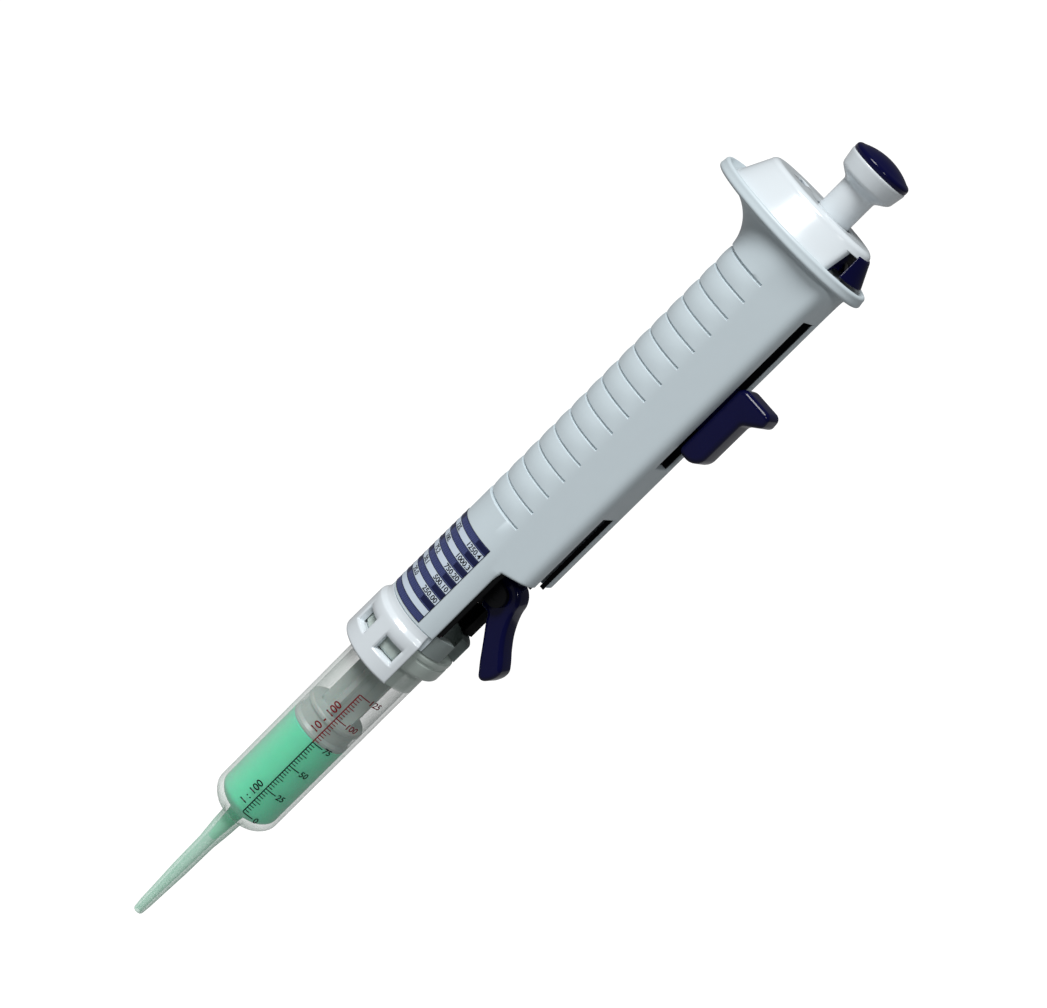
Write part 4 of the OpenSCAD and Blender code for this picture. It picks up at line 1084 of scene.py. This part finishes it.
def build_head(s):
    """The white head as a walled shell: a leaning oval side with a notch, a rounded edge and a flat top.

    The columns are shared out so that one of them follows the notch's plane at every height.
    """
    foot, top = low("head_cover")[2], high("head_cover")[2]
    lean = math.tan(s.head_slope)
    skirt, notch_top, side_top = foot - 0.88, foot + 7.8, top - 1.5
    hole, hole_steps = 5.8, 6
    front_n, back_n = 15, 54
    heights = merged([skirt, foot, notch_top, side_top], [
        *np.linspace(foot, side_top, 9), foot + 0.1, foot + 0.3,
        *(notch_top + np.array([-0.5, -0.25, -0.1, 0.08, 0.2, 0.38]))], 0.05)
    inset = np.clip(heights - foot, 0, None) * lean
    v = np.linspace(0, 1, 9)[1:]
    over = inset[-1] + 2.4 * (1 - np.cos(v * np.pi / 2)) * 0.62 + v * 0.62
    z = np.concatenate([heights, side_top + (top - side_top) * np.sin(v * np.pi / 2)])
    inset = np.concatenate([inset, over])

    outer, u = head_rings(s, 0, z, inset, front_n, back_n)
    under = top - s.head_wall
    inner_z = np.maximum.accumulate(np.minimum(z, under) + 1e-4 * np.arange(len(z)))
    inner_inset = np.minimum(inset, (under - foot) * lean + 0.2)
    inner, _ = head_rings(s, s.head_wall, inner_z, inner_inset, front_n, back_n)
    flat = to_hole(outer[-1], hole, hole_steps)
    level = top - rounding(np.linalg.norm(flat, axis=-1) - hole, 0.35)
    flat = np.concatenate([flat, level[..., None]], -1)
    ceiling = to_hole(inner[-1], hole, hole_steps)
    ceiling = np.concatenate([ceiling, np.full((*ceiling.shape[:2], 1), inner[-1, 0, 2])], -1)

    beside = np.clip(s.notch - outer[..., 0], 0, None)
    drop = rounding(np.hypot(beside, np.clip(outer[..., 2] - notch_top, 0, None)), 0.3)
    outward = np.stack([np.cos(u) / s.head_a, np.sin(u) / s.head_b, 0 * u], -1)
    outward /= np.linalg.norm(outward, axis=-1, keepdims=True)
    outer = np.concatenate([outer - outward * drop[..., None], flat])
    inner = np.concatenate([inner, ceiling])
    column = np.arange(outer.shape[1])
    front = (column < front_n - 1) | (column >= len(column) - front_n + 1)
    row_z = np.concatenate([z, np.full(hole_steps, top + 99)])
    cut_row = (row_z[:-1] + row_z[1:]) / 2 < notch_top
    points, faces = shell(outer, inner, ~(cut_row[:, None] & front[None]))
    head = piece("head_shell", points, faces, "housing", once(gloss_abs), ["head_cover"], 42)
    cut_window(head, -s.window, top)


def window_oval(radius):
    """Outline of the number window: two half circles with straight sides between them."""
    return np.concatenate([arc((0, 1.1), radius, 0, 180, 14), arc((0, -1.1), radius, 180, 360, 14)])


def window_rows(x, levels):
    """Rows of points from (outline, height) pairs, moved to the window's place."""
    rows = [np.column_stack([p[:, 0] + x, p[:, 1], np.full(len(p), h)]) for p, h in levels]
    return np.concatenate(rows), len(rows), len(rows[0])


def cut_window(head, x, top):
    """Cuts the number window's oval through the head's top."""
    points, rows, columns = window_rows(x, [(window_oval(1.6), h) for h in (top - 4, top + 2)])
    tool = piece("window_tool", points, capped(rows, columns), "housing", once(gloss_abs))
    cut = head.modifiers.new("window", "BOOLEAN")
    cut.operation, cut.solver, cut.object = "DIFFERENCE", "EXACT", tool
    graph = bpy.context.evaluated_depsgraph_get()
    mesh = bpy.data.meshes.new_from_object(head.evaluated_get(graph))
    head.modifiers.clear()
    head.data = mesh
    bpy.data.objects.remove(tool)


def build_window(s):
    """The number window: a white bezel pressed into the head's top, and a crowned lens in it."""
    top = high("head_cover")[2]
    rim, hollow = window_oval(1.62), window_oval(1.3)
    levels = [(hollow, top - 1.0), (hollow, top - 0.1), (0.5 * hollow + 0.5 * rim, top), (rim, top - 0.04),
              (rim, top - 1.0)]
    points, rows, columns = window_rows(-s.window, levels)
    faces = [grid_faces(rows, columns, wrap_rows=True)]
    piece("window_bezel", points, faces, "housing", once(gloss_abs))
    levels = [(k * hollow, top - h) for k, h in ((0.97, 1.1), (0.97, 0.45), (0.8, 0.35), (0.4, 0.3))]
    points, rows, columns = window_rows(-s.window, levels)
    piece("window_lens", points, capped(rows, columns), "housing", once(clear_lens),
          ["dial_window"])


def build_notch_shade(s):
    """Matt navy plate behind the notch, painted shade where the head's dark inside would show: two cheeks
    that follow the selector's drum, joined above it.

    At each height the plate is as wide as the leaning oval inside the head. The drum's part, where its cone
    is wider than the plate's distance from the axis, is left out.
    """
    foot, top = low("head_cover")[2], high("head_cover")[2]
    front_x, back_x = s.notch - 0.2, s.notch - 1.1
    join = 4.8
    z = foot + np.array([-0.86, 0.05, *np.arange(0.6, 4.3, 0.6), join - 0.1, join, 5.8, 6.8,
                         top - s.head_wall - foot - 0.03])
    lean = math.tan(s.head_slope)
    inset = np.clip(z - foot, 0, None) * lean + s.head_wall + 0.05
    drum_r = s.notch + 0.8 - np.clip(z - foot - 0.6, 0, None) * lean
    reach = (s.head_b - inset) * np.sqrt(1 - ((front_x - s.head_x) / (s.head_a - inset)) ** 2)
    drum = np.sqrt(np.clip(drum_r ** 2 - back_x ** 2, 0, None)) + 0.35
    drum = np.minimum(drum, reach - 0.1)
    y = np.stack([-reach, -drum, drum, reach], 1)
    front, back = (np.stack([x + 0 * y, y, z[:, None] + 0 * y], -1) for x in (front_x, back_x))
    keep = np.ones((len(z) - 1, 3), bool)
    keep[z[:-1] < foot + join - 0.05, 1] = False
    points, faces = shell(front, back, keep, wrap=False)
    # Painted shade: a matt navy plate fills the notch behind the nose, where the head's inside lies in shade.
    piece("notch_shade_plate", points, faces, "housing",
          once(printed_ink, "matt navy", tuple(colours().navy)))


def build_drum(s):
    """The selector's drum behind the notch: a ring whose outside leans like the head."""
    foot, top = low("selector_dial")[2], high("selector_dial")[2]
    r = s.notch + 0.8
    profile = softened([[7.05, foot, 0], [r, foot, 0.3], [r, foot + 0.6, 0.2],
                        [r - (top - foot) * math.tan(s.head_slope), top, 0.5], [7.05, top, 0]])
    turned("selector_drum", profile, "selector", once(navy_abs), ["selector_dial"], ring=True)


def build_nose(s):
    """The selector's nose in the notch: a cone's front, cut behind by two planes.

    The planes clear the head when the selector turns to the end of its swing, and their edges are rounded.
    """
    foot, tip = low("selector_dial")[2], high("selector_dial")[0]
    head_gap, head_edge, corner_r = 0.35, 1.3, 0.7
    tall = high("head_cover")[2] - head_edge - head_gap - foot
    r0 = s.head_b - 4.5
    cx = tip - r0
    swing = math.radians(16)
    back = (s.notch + head_gap) / math.cos(swing)
    bottom = -0.1
    levels = np.concatenate([[bottom, 0, 0.2, 0.5], np.linspace(1.0, tall - 0.8, 8),
                             tall - np.array([0.4, 0.15, 0.04, 0])])
    radius = r0 - levels * math.tan(s.head_slope)
    radius = radius - rounding(np.minimum(levels - bottom, tall - levels), 0.35)
    loops = []
    for r, level in zip(radius, levels):
        end = math.acos((back - cx) * math.cos(swing) / r) - swing
        t = np.linspace(-1, 1, 55) * (end - corner_r / r)
        front = np.stack([cx + r * np.cos(t), r * np.sin(t)], 1)
        corner = np.array([cx + r * math.cos(end), r * math.sin(end)])
        inward = np.array([back, 0]) - corner
        inward = corner + inward * corner_r / np.linalg.norm(inward)
        v = np.linspace(0, 1, 8)[1:, None]
        bend = (1 - v) ** 2 * front[-1] + 2 * v * (1 - v) * corner + v ** 2 * inward
        loop = np.concatenate([front, bend, [[back + 0.02, 0]], bend[::-1] * [1, -1]])
        loops.append(np.column_stack([loop, np.full(len(loop), foot + level)]))
    piece("selector_nose", np.concatenate(loops), capped(len(loops), len(loops[0])), "selector",
          once(navy_abs))


def build_figures(s):
    """The selector's ring of plain figures, of which the window shows one."""
    spread = math.radians(22)
    t = np.linspace(np.pi - spread, np.pi + spread, 25)
    r = np.array([[8.2], [14.0]])
    plate_top = high("head_cover")[2] - 1.75
    upper, under = (np.stack([r * np.cos(t), r * np.sin(t), 0 * r * t + h], -1)
                    for h in (plate_top, plate_top - 0.5))
    points, faces = shell(upper, under, np.ones((1, len(t) - 1), bool), wrap=False)
    piece("figure_plate", points, faces, "selector", once(black_abs))
    places, click = 5, 8
    prints = []
    for k in range(places):
        flat, faces = figures(str(k + 1), 1.7)
        flat = flat - (flat.max(0) + flat.min(0)) / 2
        a = math.radians(180 + click * (k - places // 2))
        out, side = np.array([math.cos(a), math.sin(a)]), np.array([math.sin(a), -math.cos(a)])
        prints.append((s.window * out + flat[:, :1] * side + flat[:, 1:] * -out, faces))

    def place(points, lift):
        return np.column_stack([points, np.full(len(points), plate_top + 0.01 + lift)])

    points, faces = raised(prints, place, 0.03)
    piece("selector_figures", points, faces, "selector",
          once(printed_ink, "white print", tuple(colours().white)))


def build_button():
    """The thumb button: a white flared knob on its shaft."""
    foot, top = low("plunger_button")[2], high("plunger_button")[2]
    shaft, rim = 5.2, high("plunger_button")[0]
    neck = top - 7
    profile = softened([
        [0.02, foot, 0], [shaft - 0.5, foot, 0.3], [shaft, foot + 0.5, 0.3], [shaft, neck - 0.3, 0.5],
        [shaft + 0.6, neck + 0.3, 0.6], [rim - 1.5, neck + 1.55, 0.7], [rim - 0.75, neck + 2.3, 0.7],
        [rim, top - 0.5, 0.5], [rim - 0.12, top, 0.3], [rim - 1.72, top, 0], [rim - 1.72, top - 1.45, 0],
        [0.02, top - 1.45, 0]], 6, False)
    turned("button_knob", profile, "plunger", once(gloss_abs), ["plunger_button"])


def build_cap():
    """The domed navy cap pressed into the button: a spigot, a rounded edge and a shallow crown."""
    seat, rim = high("plunger_button")[2], high("plunger_button")[0]
    top = high("button_cap")[2]
    cap, edge_r = rim - 0.1, 1.1
    dome = top - seat - 2.0
    dome_r = ((cap - edge_r) ** 2 + dome ** 2) / (2 * dome)
    x = (cap - edge_r) * np.linspace(0.96, 0, 14)
    crown = np.column_stack([np.maximum(x, 0.02), top - dome_r + np.sqrt(dome_r ** 2 - x ** 2)])
    edge = arc((cap - edge_r, seat + 0.9), edge_r, 0, 66, 9)
    spigot = [[0.02, seat - 1.4], [rim - 1.78, seat - 1.4], [rim - 1.78, seat + 0.06],
              [cap - 0.12, seat + 0.06], [cap, seat + 0.2]]
    turned("button_dome", np.concatenate([spigot, edge, crown]), "plunger", once(navy_abs),
           ["button_cap"])


# ---------------------------------------------------------------- slider and lever

def build_slider(s):
    """The navy finger slider: a rounded block with a hook at its top, and its stem through the slot."""
    back, half, foot = low("fill_slider")[0], high("fill_slider")[1], low("fill_slider")[2]
    tip, top = high("fill_slider")[0], high("fill_slider")[2]
    x0, x1 = s.front + 0.35, tip - 4.8
    tall = top - foot
    outline = rounded([[x0, foot], [x1, foot], [x1, top - 0.31 * tall], [tip, top - 0.155 * tall],
                       [tip - 0.4, top], [x0, top]], [1.7, 4.2, 2.0, 1.8, 1.9, 2.8])
    cushioned("slider_grip", outline, half, 1.6, "carriage", once(navy_abs), ["fill_slider"])
    stem_foot, stem_top = foot + 7.6, top - 2.6
    stem = soften([[back, stem_foot], [x0 + 1, stem_foot], [x0 + 1, stem_top], [back, stem_top]], 0.3, 4)
    cushioned("slider_stem", stem, s.slot - 1, 0.3, "carriage", once(navy_abs))


def build_lever(s):
    """The navy cam lever: a round hub between the gripper's ears and an arm that sweeps out and down."""
    hub = 6.0
    pivot = np.array([10.5, high("lock_lever")[2] - hub])
    arm = pivot + np.array([
        (6.2, -0.4), (7.3, -3.1), (9.1, -6.2), (11.6, -9.3), (14.0, -11.8), (15.4, -13.7), (15.5, -15.7),
        (14.7, -17.9), (13.4, -19.5), (11.9, -19.6), (10.5, -18.2), (8.6, -16.0), (6.2, -12.9), (3.8, -9.9),
        (2.0, -7.7)])
    outline = flowing(np.concatenate([arm, arc(pivot, hub, 276, 20, 13)]))
    cushioned("lever_arm", outline, s.slot - 0.4, 1.4, "lever", once(navy_abs), ["lock_lever"])


# ---------------------------------------------------------------- syringe

def build_barrel():
    """The syringe: a tapered nozzle, a domed shoulder, a thin-walled barrel and its grooved flange ring."""
    top, ring = high("syringe_barrel")[2], high("syringe_barrel")[0]
    n, r, bore = NOZZLE_TOP, BARREL_R, BARREL_R - BARREL_WALL
    neck, start = n + 5.8, top - 7.4
    nozzle = [[0.9, 0, 0], [1.3, 0, 0.15], [1.5, 0.4, 0.2], [1.8, 3.6, 0], [2.0, 9.7, 0], [2.4, 18.7, 0],
              [2.6, 30.8, 0], [3.2, 37.2, 2], [3.5, n, 1.2], [4.3, n + 0.5, 1]]
    shoulder = [[r - 3.4, n + 1.3, 1.5], [r - 1.4, n + 3.1, 1.2], [r - 0.4, n + 4.6, 1], [r, neck, 1]]
    flange = [[r, start, 0.6], [ring - 0.7, start, 0.4], [ring, start + 0.7, 0.5], [ring, top - 2.9, 0.2],
              [ring - 0.4, top - 2.6, 0.15], [ring - 0.4, top - 2.2, 0.15], [ring, top - 1.9, 0.2],
              [ring, top - 0.5, 0.4], [ring - 0.5, top, 0.3]]
    inside = [[bore, top, 0.2], [bore, neck + 0.8, 1], [bore - 1.6, neck - 1.2, 1], [2.6, n + 1.6, 1],
              [2.3, n, 0.8], [1.6, 34.4, 1], [1.3, 18.7, 1], [0.9, 6, 0.5]]
    profile = softened(nozzle + shoulder + flange + inside)
    turned("barrel_wall", profile, "housing", once(clear_pp), ["syringe_barrel"], 144, True)


def build_liquid():
    """The dyed water as a turned solid up to the piston, its profile split into short rows."""
    n, neck, bore = NOZZLE_TOP, NOZZLE_TOP + 5.8, BARREL_R - BARREL_WALL
    piston = low("piston_seal")[2]
    gap, end, row_h = 0.04, 33.0, 2.5
    corners = softened([
        [0.02, end, 0], [1.2, end, 0.2], [1.54, 34.4, 0.5], [2.24, n, 1], [2.54, n + 1.7, 0.8],
        [bore - 1.64, neck - 1.14, 1.5], [bore - gap, neck + 0.9, 1], [bore - gap, piston - 0.2, 0.15],
        [bore - 0.3, piston - gap, 0.15], [0.02, piston - gap, 0]], 5, False)
    profile = [corners[:1]]
    for p, q in zip(corners[:-1], corners[1:]):
        count = max(1, int(abs(q[1] - p[1]) / row_h))
        profile.append(p + (q - p) * (np.arange(1, count + 1) / count)[:, None])
    liquid = turned("liquid", np.concatenate(profile), "housing", once(green_liquid), (), 96)
    loosen(liquid)
    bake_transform(liquid)


def build_spring():
    """The plunger's return spring: a coil in the frame spring's place, taken off the bodies."""
    a, b = low("return_spring"), high("return_spring")
    wire, turns, turn_steps = 0.45, 9, 30
    r = b[0] - wire
    t = np.linspace(0, 1, turns * turn_steps + 1)[:, None]
    way = 2 * np.pi * turns * t
    u = np.linspace(0, 2 * np.pi, 10, endpoint=False)[None]
    reach = r + wire * np.cos(u)
    height = a[2] + wire + (b[2] - a[2] - 2 * wire) * t + wire * np.sin(u)
    grid = np.stack([reach * np.cos(way), reach * np.sin(way), height], -1)
    spring = piece("spring_coil", grid.reshape(-1, 3), capped(len(t), u.size), "housing",
                   once(turned_steel), ["return_spring"])
    loosen(spring)
    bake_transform(spring)


def build_scale():
    """The volume scale printed along the barrel: line, ticks and plain figures, black below, red above."""
    zero, pitch = 50.2, 9.9
    facing = math.radians(-66)

    def place(points, lift):
        """Girth x counts from the line towards the front, y is the height."""
        t = facing + points[:, 0] / BARREL_R
        r = BARREL_R + 0.02 + lift
        return np.stack([r * np.cos(t), r * np.sin(t), points[:, 1]], 1)

    def marks(first, last, labels):
        """Line, minor and major ticks, and figures that read across the barrel."""
        flat = [bar(-0.17, zero + first * pitch, 0.17, zero + last * pitch, 12)]
        for k in range(first * 10, last * 10 + 1):
            reach, thick = (3.6, 0.16) if k % 10 == 0 else (2.1 if k % 5 == 0 else 1.5, 0.13)
            z = zero + k * pitch / 10
            step = (reach - 0.14) / 3
            starts = [0.14 + step * part for part in range(3)]
            flat += [bar(x, z - thick, x + step, z + thick) for x in starts]
        return flat + [moved(figures(text, 1.9), 4.1, zero + k * pitch - 0.95) for k, text in labels]

    black = marks(0, 3, [(0, "0"), (1, "25"), (2, "50"), (3, "75")])
    black.append(moved(figures("1 : 100", 2.2), -3.4, zero + 2.4, 1))
    red = marks(3, 5, [(4, "100"), (5, "125")])
    red.append(moved(figures("10 - 100", 2.4), -3.6, zero + 3.3 * pitch, 1))
    for name, flat, ink, tone in (("scale_black", black, "black scale", colours().ink),
                                  ("scale_red", red, "red scale", colours().red)):
        points, faces = raised(flat, place, 0.03)
        piece(name, points, faces, "housing", once(printed_ink, ink, tuple(tone)))


# ---------------------------------------------------------------- frame nodes

FINISHES = {
    "black_abs": ["inner_frame", "piston_gripper", "pawl_carrier", "lever_pin"],
    "navy_abs": ["rack_bar"],
    "smoke_pp": ["syringe_latch"],
    "piston_pe": ["piston_seal", "piston_rod"],
    "turned_steel": ["frame_screws", "detent_ball", "detent_spring", "plunger_bush", "push_rod",
                     "retaining_clip", "pawl", "pawl_pin", "pawl_spring", "slider_screws"],
}


def dress_frame():
    """Gives each node of the frame that keeps its own shape its material."""
    makers = {"black_abs": black_abs, "navy_abs": navy_abs, "smoke_pp": smoke_pp, "piston_pe": piston_pe,
              "turned_steel": turned_steel}
    for finish, nodes in FINISHES.items():
        for name in nodes:
            mesh = frame["nodes"][name].data
            mesh.materials.clear()
            mesh.materials.append(once(makers[finish]))


# ---------------------------------------------------------------- stage

# Camera: its turn about the axis and its rise over the level, then its distance, height and shift aside in
# millimetres, and its focal length.
VIEW_TURN, VIEW_RISE = math.radians(18), math.radians(16.2)
VIEW_DISTANCE, VIEW_HEIGHT, VIEW_ASIDE, VIEW_LENS = 730, 168.2, -4.18, 92.62
# Lamps: the height of the point on the axis that they face, and their distance from it, in millimetres.
LAMP_HEIGHT, LAMP_DISTANCE = 165, 900


def view_axes():
    """Right, up and back directions of the camera before it is tilted on its side by 45 degrees."""
    level = math.cos(VIEW_RISE)
    back = np.array([math.sin(VIEW_TURN) * level, -math.cos(VIEW_TURN) * level, math.sin(VIEW_RISE)])
    right = np.array([math.cos(VIEW_TURN), math.sin(VIEW_TURN), 0])
    return right, np.cross(back, right), back


def tilted_axes():
    """The camera's own right and up directions once it is tilted."""
    right, up, _ = view_axes()
    return (right + up) / math.sqrt(2), (up - right) / math.sqrt(2)


def pose(obj, right, up, back, place):
    """Turns a camera or a lamp by its three axes and puts it at a place in millimetres."""
    axes = np.stack([right, up, back], 1)
    matrix = Matrix.Identity(4)
    for i in range(3):
        for j in range(3):
            matrix[i][j] = float(axes[i, j])
        matrix[i][3] = float(place[i] * MM)
    obj.matrix_world = matrix


def build_camera():
    """The camera, tilted so that the instrument leans to the right in the picture."""
    right, _, back = view_axes()
    data = bpy.data.cameras.new("camera")
    data.sensor_fit, data.sensor_width, data.lens = "HORIZONTAL", 36, VIEW_LENS
    data.clip_start, data.clip_end = 0.01, 50
    camera = bpy.data.objects.new("camera", data)
    bpy.context.scene.collection.objects.link(camera)
    place = np.array([0, 0, VIEW_HEIGHT]) + back * VIEW_DISTANCE + right * VIEW_ASIDE
    pose(camera, *tilted_axes(), back, place)
    bpy.context.scene.camera = camera


def set_lamp(name, data, across, upward, towards):
    """Places a lamp by its direction from the object in the tilted picture's own axes."""
    pic_right, pic_up = tilted_axes()
    way = pic_right * across + pic_up * upward + view_axes()[2] * towards
    way = way / np.linalg.norm(way)
    lamp = bpy.data.objects.new(name, data)
    bpy.context.scene.collection.objects.link(lamp)
    side = np.cross(pic_up, way)
    side = side / np.linalg.norm(side)
    pose(lamp, side, np.cross(way, side), way, np.array([0, 0, LAMP_HEIGHT]) + way * LAMP_DISTANCE)


def build_lamp(name, across, upward, towards, size, power):
    """Soft rectangular lamp, whose size is in metres."""
    data = bpy.data.lights.new(name, "AREA")
    data.shape, data.size, data.size_y, data.energy = "RECTANGLE", size[0], size[1], power
    set_lamp(name, data, across, upward, towards)


def build_sun(name, across, upward, towards, spread, power):
    """Large soft source, even all over the floor, seen under an angle of the given spread."""
    data = bpy.data.lights.new(name, "SUN")
    data.angle, data.energy = math.radians(spread), power
    set_lamp(name, data, across, upward, towards)


def seen_or_clear(tree):
    """The light path's sockets, and 1 for rays from the camera or through clear pieces."""
    path = add_node(tree, "ShaderNodeLightPath").outputs
    return path, maths(tree, "MAXIMUM", path["Is Camera Ray"], path["Is Transmission Ray"])


def pale_surface(name, tone, glow):
    """Plain pale surface: paint that takes the shadows, and a glow that lifts the rest of it to white.

    Only the camera and clear pieces see the glow; gloss sees a little of it, and it lights nothing.
    """
    material = bpy.data.materials.new(name)
    material.use_nodes = True
    tree = material.node_tree
    tree.nodes.clear()
    path, seen = seen_or_clear(tree)
    seen = maths(tree, "MAXIMUM", seen, maths(tree, "MULTIPLY", path["Is Glossy Ray"], 0.15))
    paint = add_node(tree, "ShaderNodeBsdfDiffuse", {}, {"Color": linear(tone)})
    light = add_node(tree, "ShaderNodeEmission", {}, {"Strength": maths(tree, "MULTIPLY", seen, glow)})
    both = add_node(tree, "ShaderNodeAddShader", {}, {0: paint.outputs[0], 1: light.outputs[0]})
    output = add_node(tree, "ShaderNodeOutputMaterial")
    tree.links.new(both.outputs[0], output.inputs["Surface"])
    return material


def build_world():
    """White world: full white to the camera, dim to the object, and dimmer still in gloss."""
    world = bpy.data.worlds.new("studio")
    bpy.context.scene.world = world
    world.use_nodes = True
    tree = world.node_tree
    tree.nodes.clear()
    path, seen = seen_or_clear(tree)
    gloss = maths(tree, "MULTIPLY", path["Is Glossy Ray"], 0.08)
    strength = maths(tree, "MAXIMUM", seen, maths(tree, "SUBTRACT", 0.17, gloss))
    glow = add_node(tree, "ShaderNodeBackground", {}, {"Color": (1, 1, 1, 1), "Strength": strength})
    output = add_node(tree, "ShaderNodeOutputWorld")
    tree.links.new(glow.outputs[0], output.inputs["Surface"])


def build_stage():
    """Floor, world, lamps and camera."""
    scene = bpy.context.scene
    scene.view_settings.view_transform = "Standard"
    floor_z, half = -0.06, 30
    corners = [(-half, -half, floor_z), (half, -half, floor_z), (half, half, floor_z), (-half, half, floor_z)]
    mesh = bpy.data.meshes.new("floor")
    mesh.from_pydata(corners, [], [(0, 1, 2, 3)])
    mesh.materials.append(pale_surface("pale floor", "#808080", 0.88))
    floor = bpy.data.objects.new("floor", mesh)
    scene.collection.objects.link(floor)
    build_world()
    build_sun("key sun", 0.12, 0.9, 0.82, 24, 3.15)
    build_lamp("front lamp", 0.42, 0.1, 0.87, (0.1, 0.09), 1.1)
    build_camera()


# ---------------------------------------------------------------- add-on

class PIPETTE_OT_body(bpy.types.Operator):
    """Build the grey body and the white collar"""

    bl_idname = "pipette.body"
    bl_label = "Body and collar"

    def execute(self, context):
        for build in (build_housing, build_slot_shade, build_collar):
            build(sizes())
        return {"FINISHED"}


class PIPETTE_OT_table(bpy.types.Operator):
    """Build the printed dosing table"""

    bl_idname = "pipette.table"
    bl_label = "Dosing table"

    def execute(self, context):
        build_table(sizes())
        return {"FINISHED"}


class PIPETTE_OT_head(bpy.types.Operator):
    """Build the head, its window, the selector and the thumb button"""

    bl_idname = "pipette.head"
    bl_label = "Head and button"

    def execute(self, context):
        for build in (build_head, build_window, build_notch_shade, build_drum, build_nose, build_figures):
            build(sizes())
        build_button()
        build_cap()
        return {"FINISHED"}


class PIPETTE_OT_controls(bpy.types.Operator):
    """Build the finger slider and the cam lever"""

    bl_idname = "pipette.controls"
    bl_label = "Slider and lever"

    def execute(self, context):
        build_slider(sizes())
        build_lever(sizes())
        return {"FINISHED"}


class PIPETTE_OT_syringe(bpy.types.Operator):
    """Build the syringe, its liquid and its scale"""

    bl_idname = "pipette.syringe"
    bl_label = "Syringe"

    def execute(self, context):
        build_barrel()
        build_liquid()
        build_scale()
        return {"FINISHED"}


class PIPETTE_OT_works(bpy.types.Operator):
    """Give the pieces inside their materials"""

    bl_idname = "pipette.works"
    bl_label = "Inner works"

    def execute(self, context):
        build_spring()
        dress_frame()
        return {"FINISHED"}


class PIPETTE_OT_stage(bpy.types.Operator):
    """Build the floor, the lamps and the camera"""

    bl_idname = "pipette.stage"
    bl_label = "Stage"

    def execute(self, context):
        build_stage()
        return {"FINISHED"}


OPERATORS = (PIPETTE_OT_body, PIPETTE_OT_table, PIPETTE_OT_head, PIPETTE_OT_controls, PIPETTE_OT_syringe,
             PIPETTE_OT_works, PIPETTE_OT_stage)


class PIPETTE_PT_panel(bpy.types.Panel):
    """Sidebar panel with the sizes, the colours and the steps"""

    bl_idname = "PIPETTE_PT_panel"
    bl_label = "Repeating pipette"
    bl_space_type = "VIEW_3D"
    bl_region_type = "UI"
    bl_category = "Pipette"

    def draw(self, context):
        for group in (context.scene.pipette_sizes, context.scene.pipette_colours):
            box = self.layout.box()
            for name in group.bl_rna.properties.keys():
                if name not in ("rna_type", "name"):
                    box.prop(group, name)
        for operator in OPERATORS:
            self.layout.operator(operator.bl_idname)


CLASSES = (PipetteBodySizes, PipetteColours, *OPERATORS, PIPETTE_PT_panel)


def register():
    """Registers the add-on's classes and its two groups of properties."""
    for cls in CLASSES:
        bpy.utils.register_class(cls)
    bpy.types.Scene.pipette_sizes = bpy.props.PointerProperty(type=PipetteBodySizes)
    bpy.types.Scene.pipette_colours = bpy.props.PointerProperty(type=PipetteColours)


def unregister():
    """Takes the add-on out again."""
    del bpy.types.Scene.pipette_sizes
    del bpy.types.Scene.pipette_colours
    for cls in reversed(CLASSES):
        bpy.utils.unregister_class(cls)


def main():
    """Builds everything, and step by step."""
    register()
    for operator in OPERATORS:
        group, name = operator.bl_idname.split(".")
        getattr(getattr(bpy.ops, group), name)()


if __name__ == "__main__":
    main()
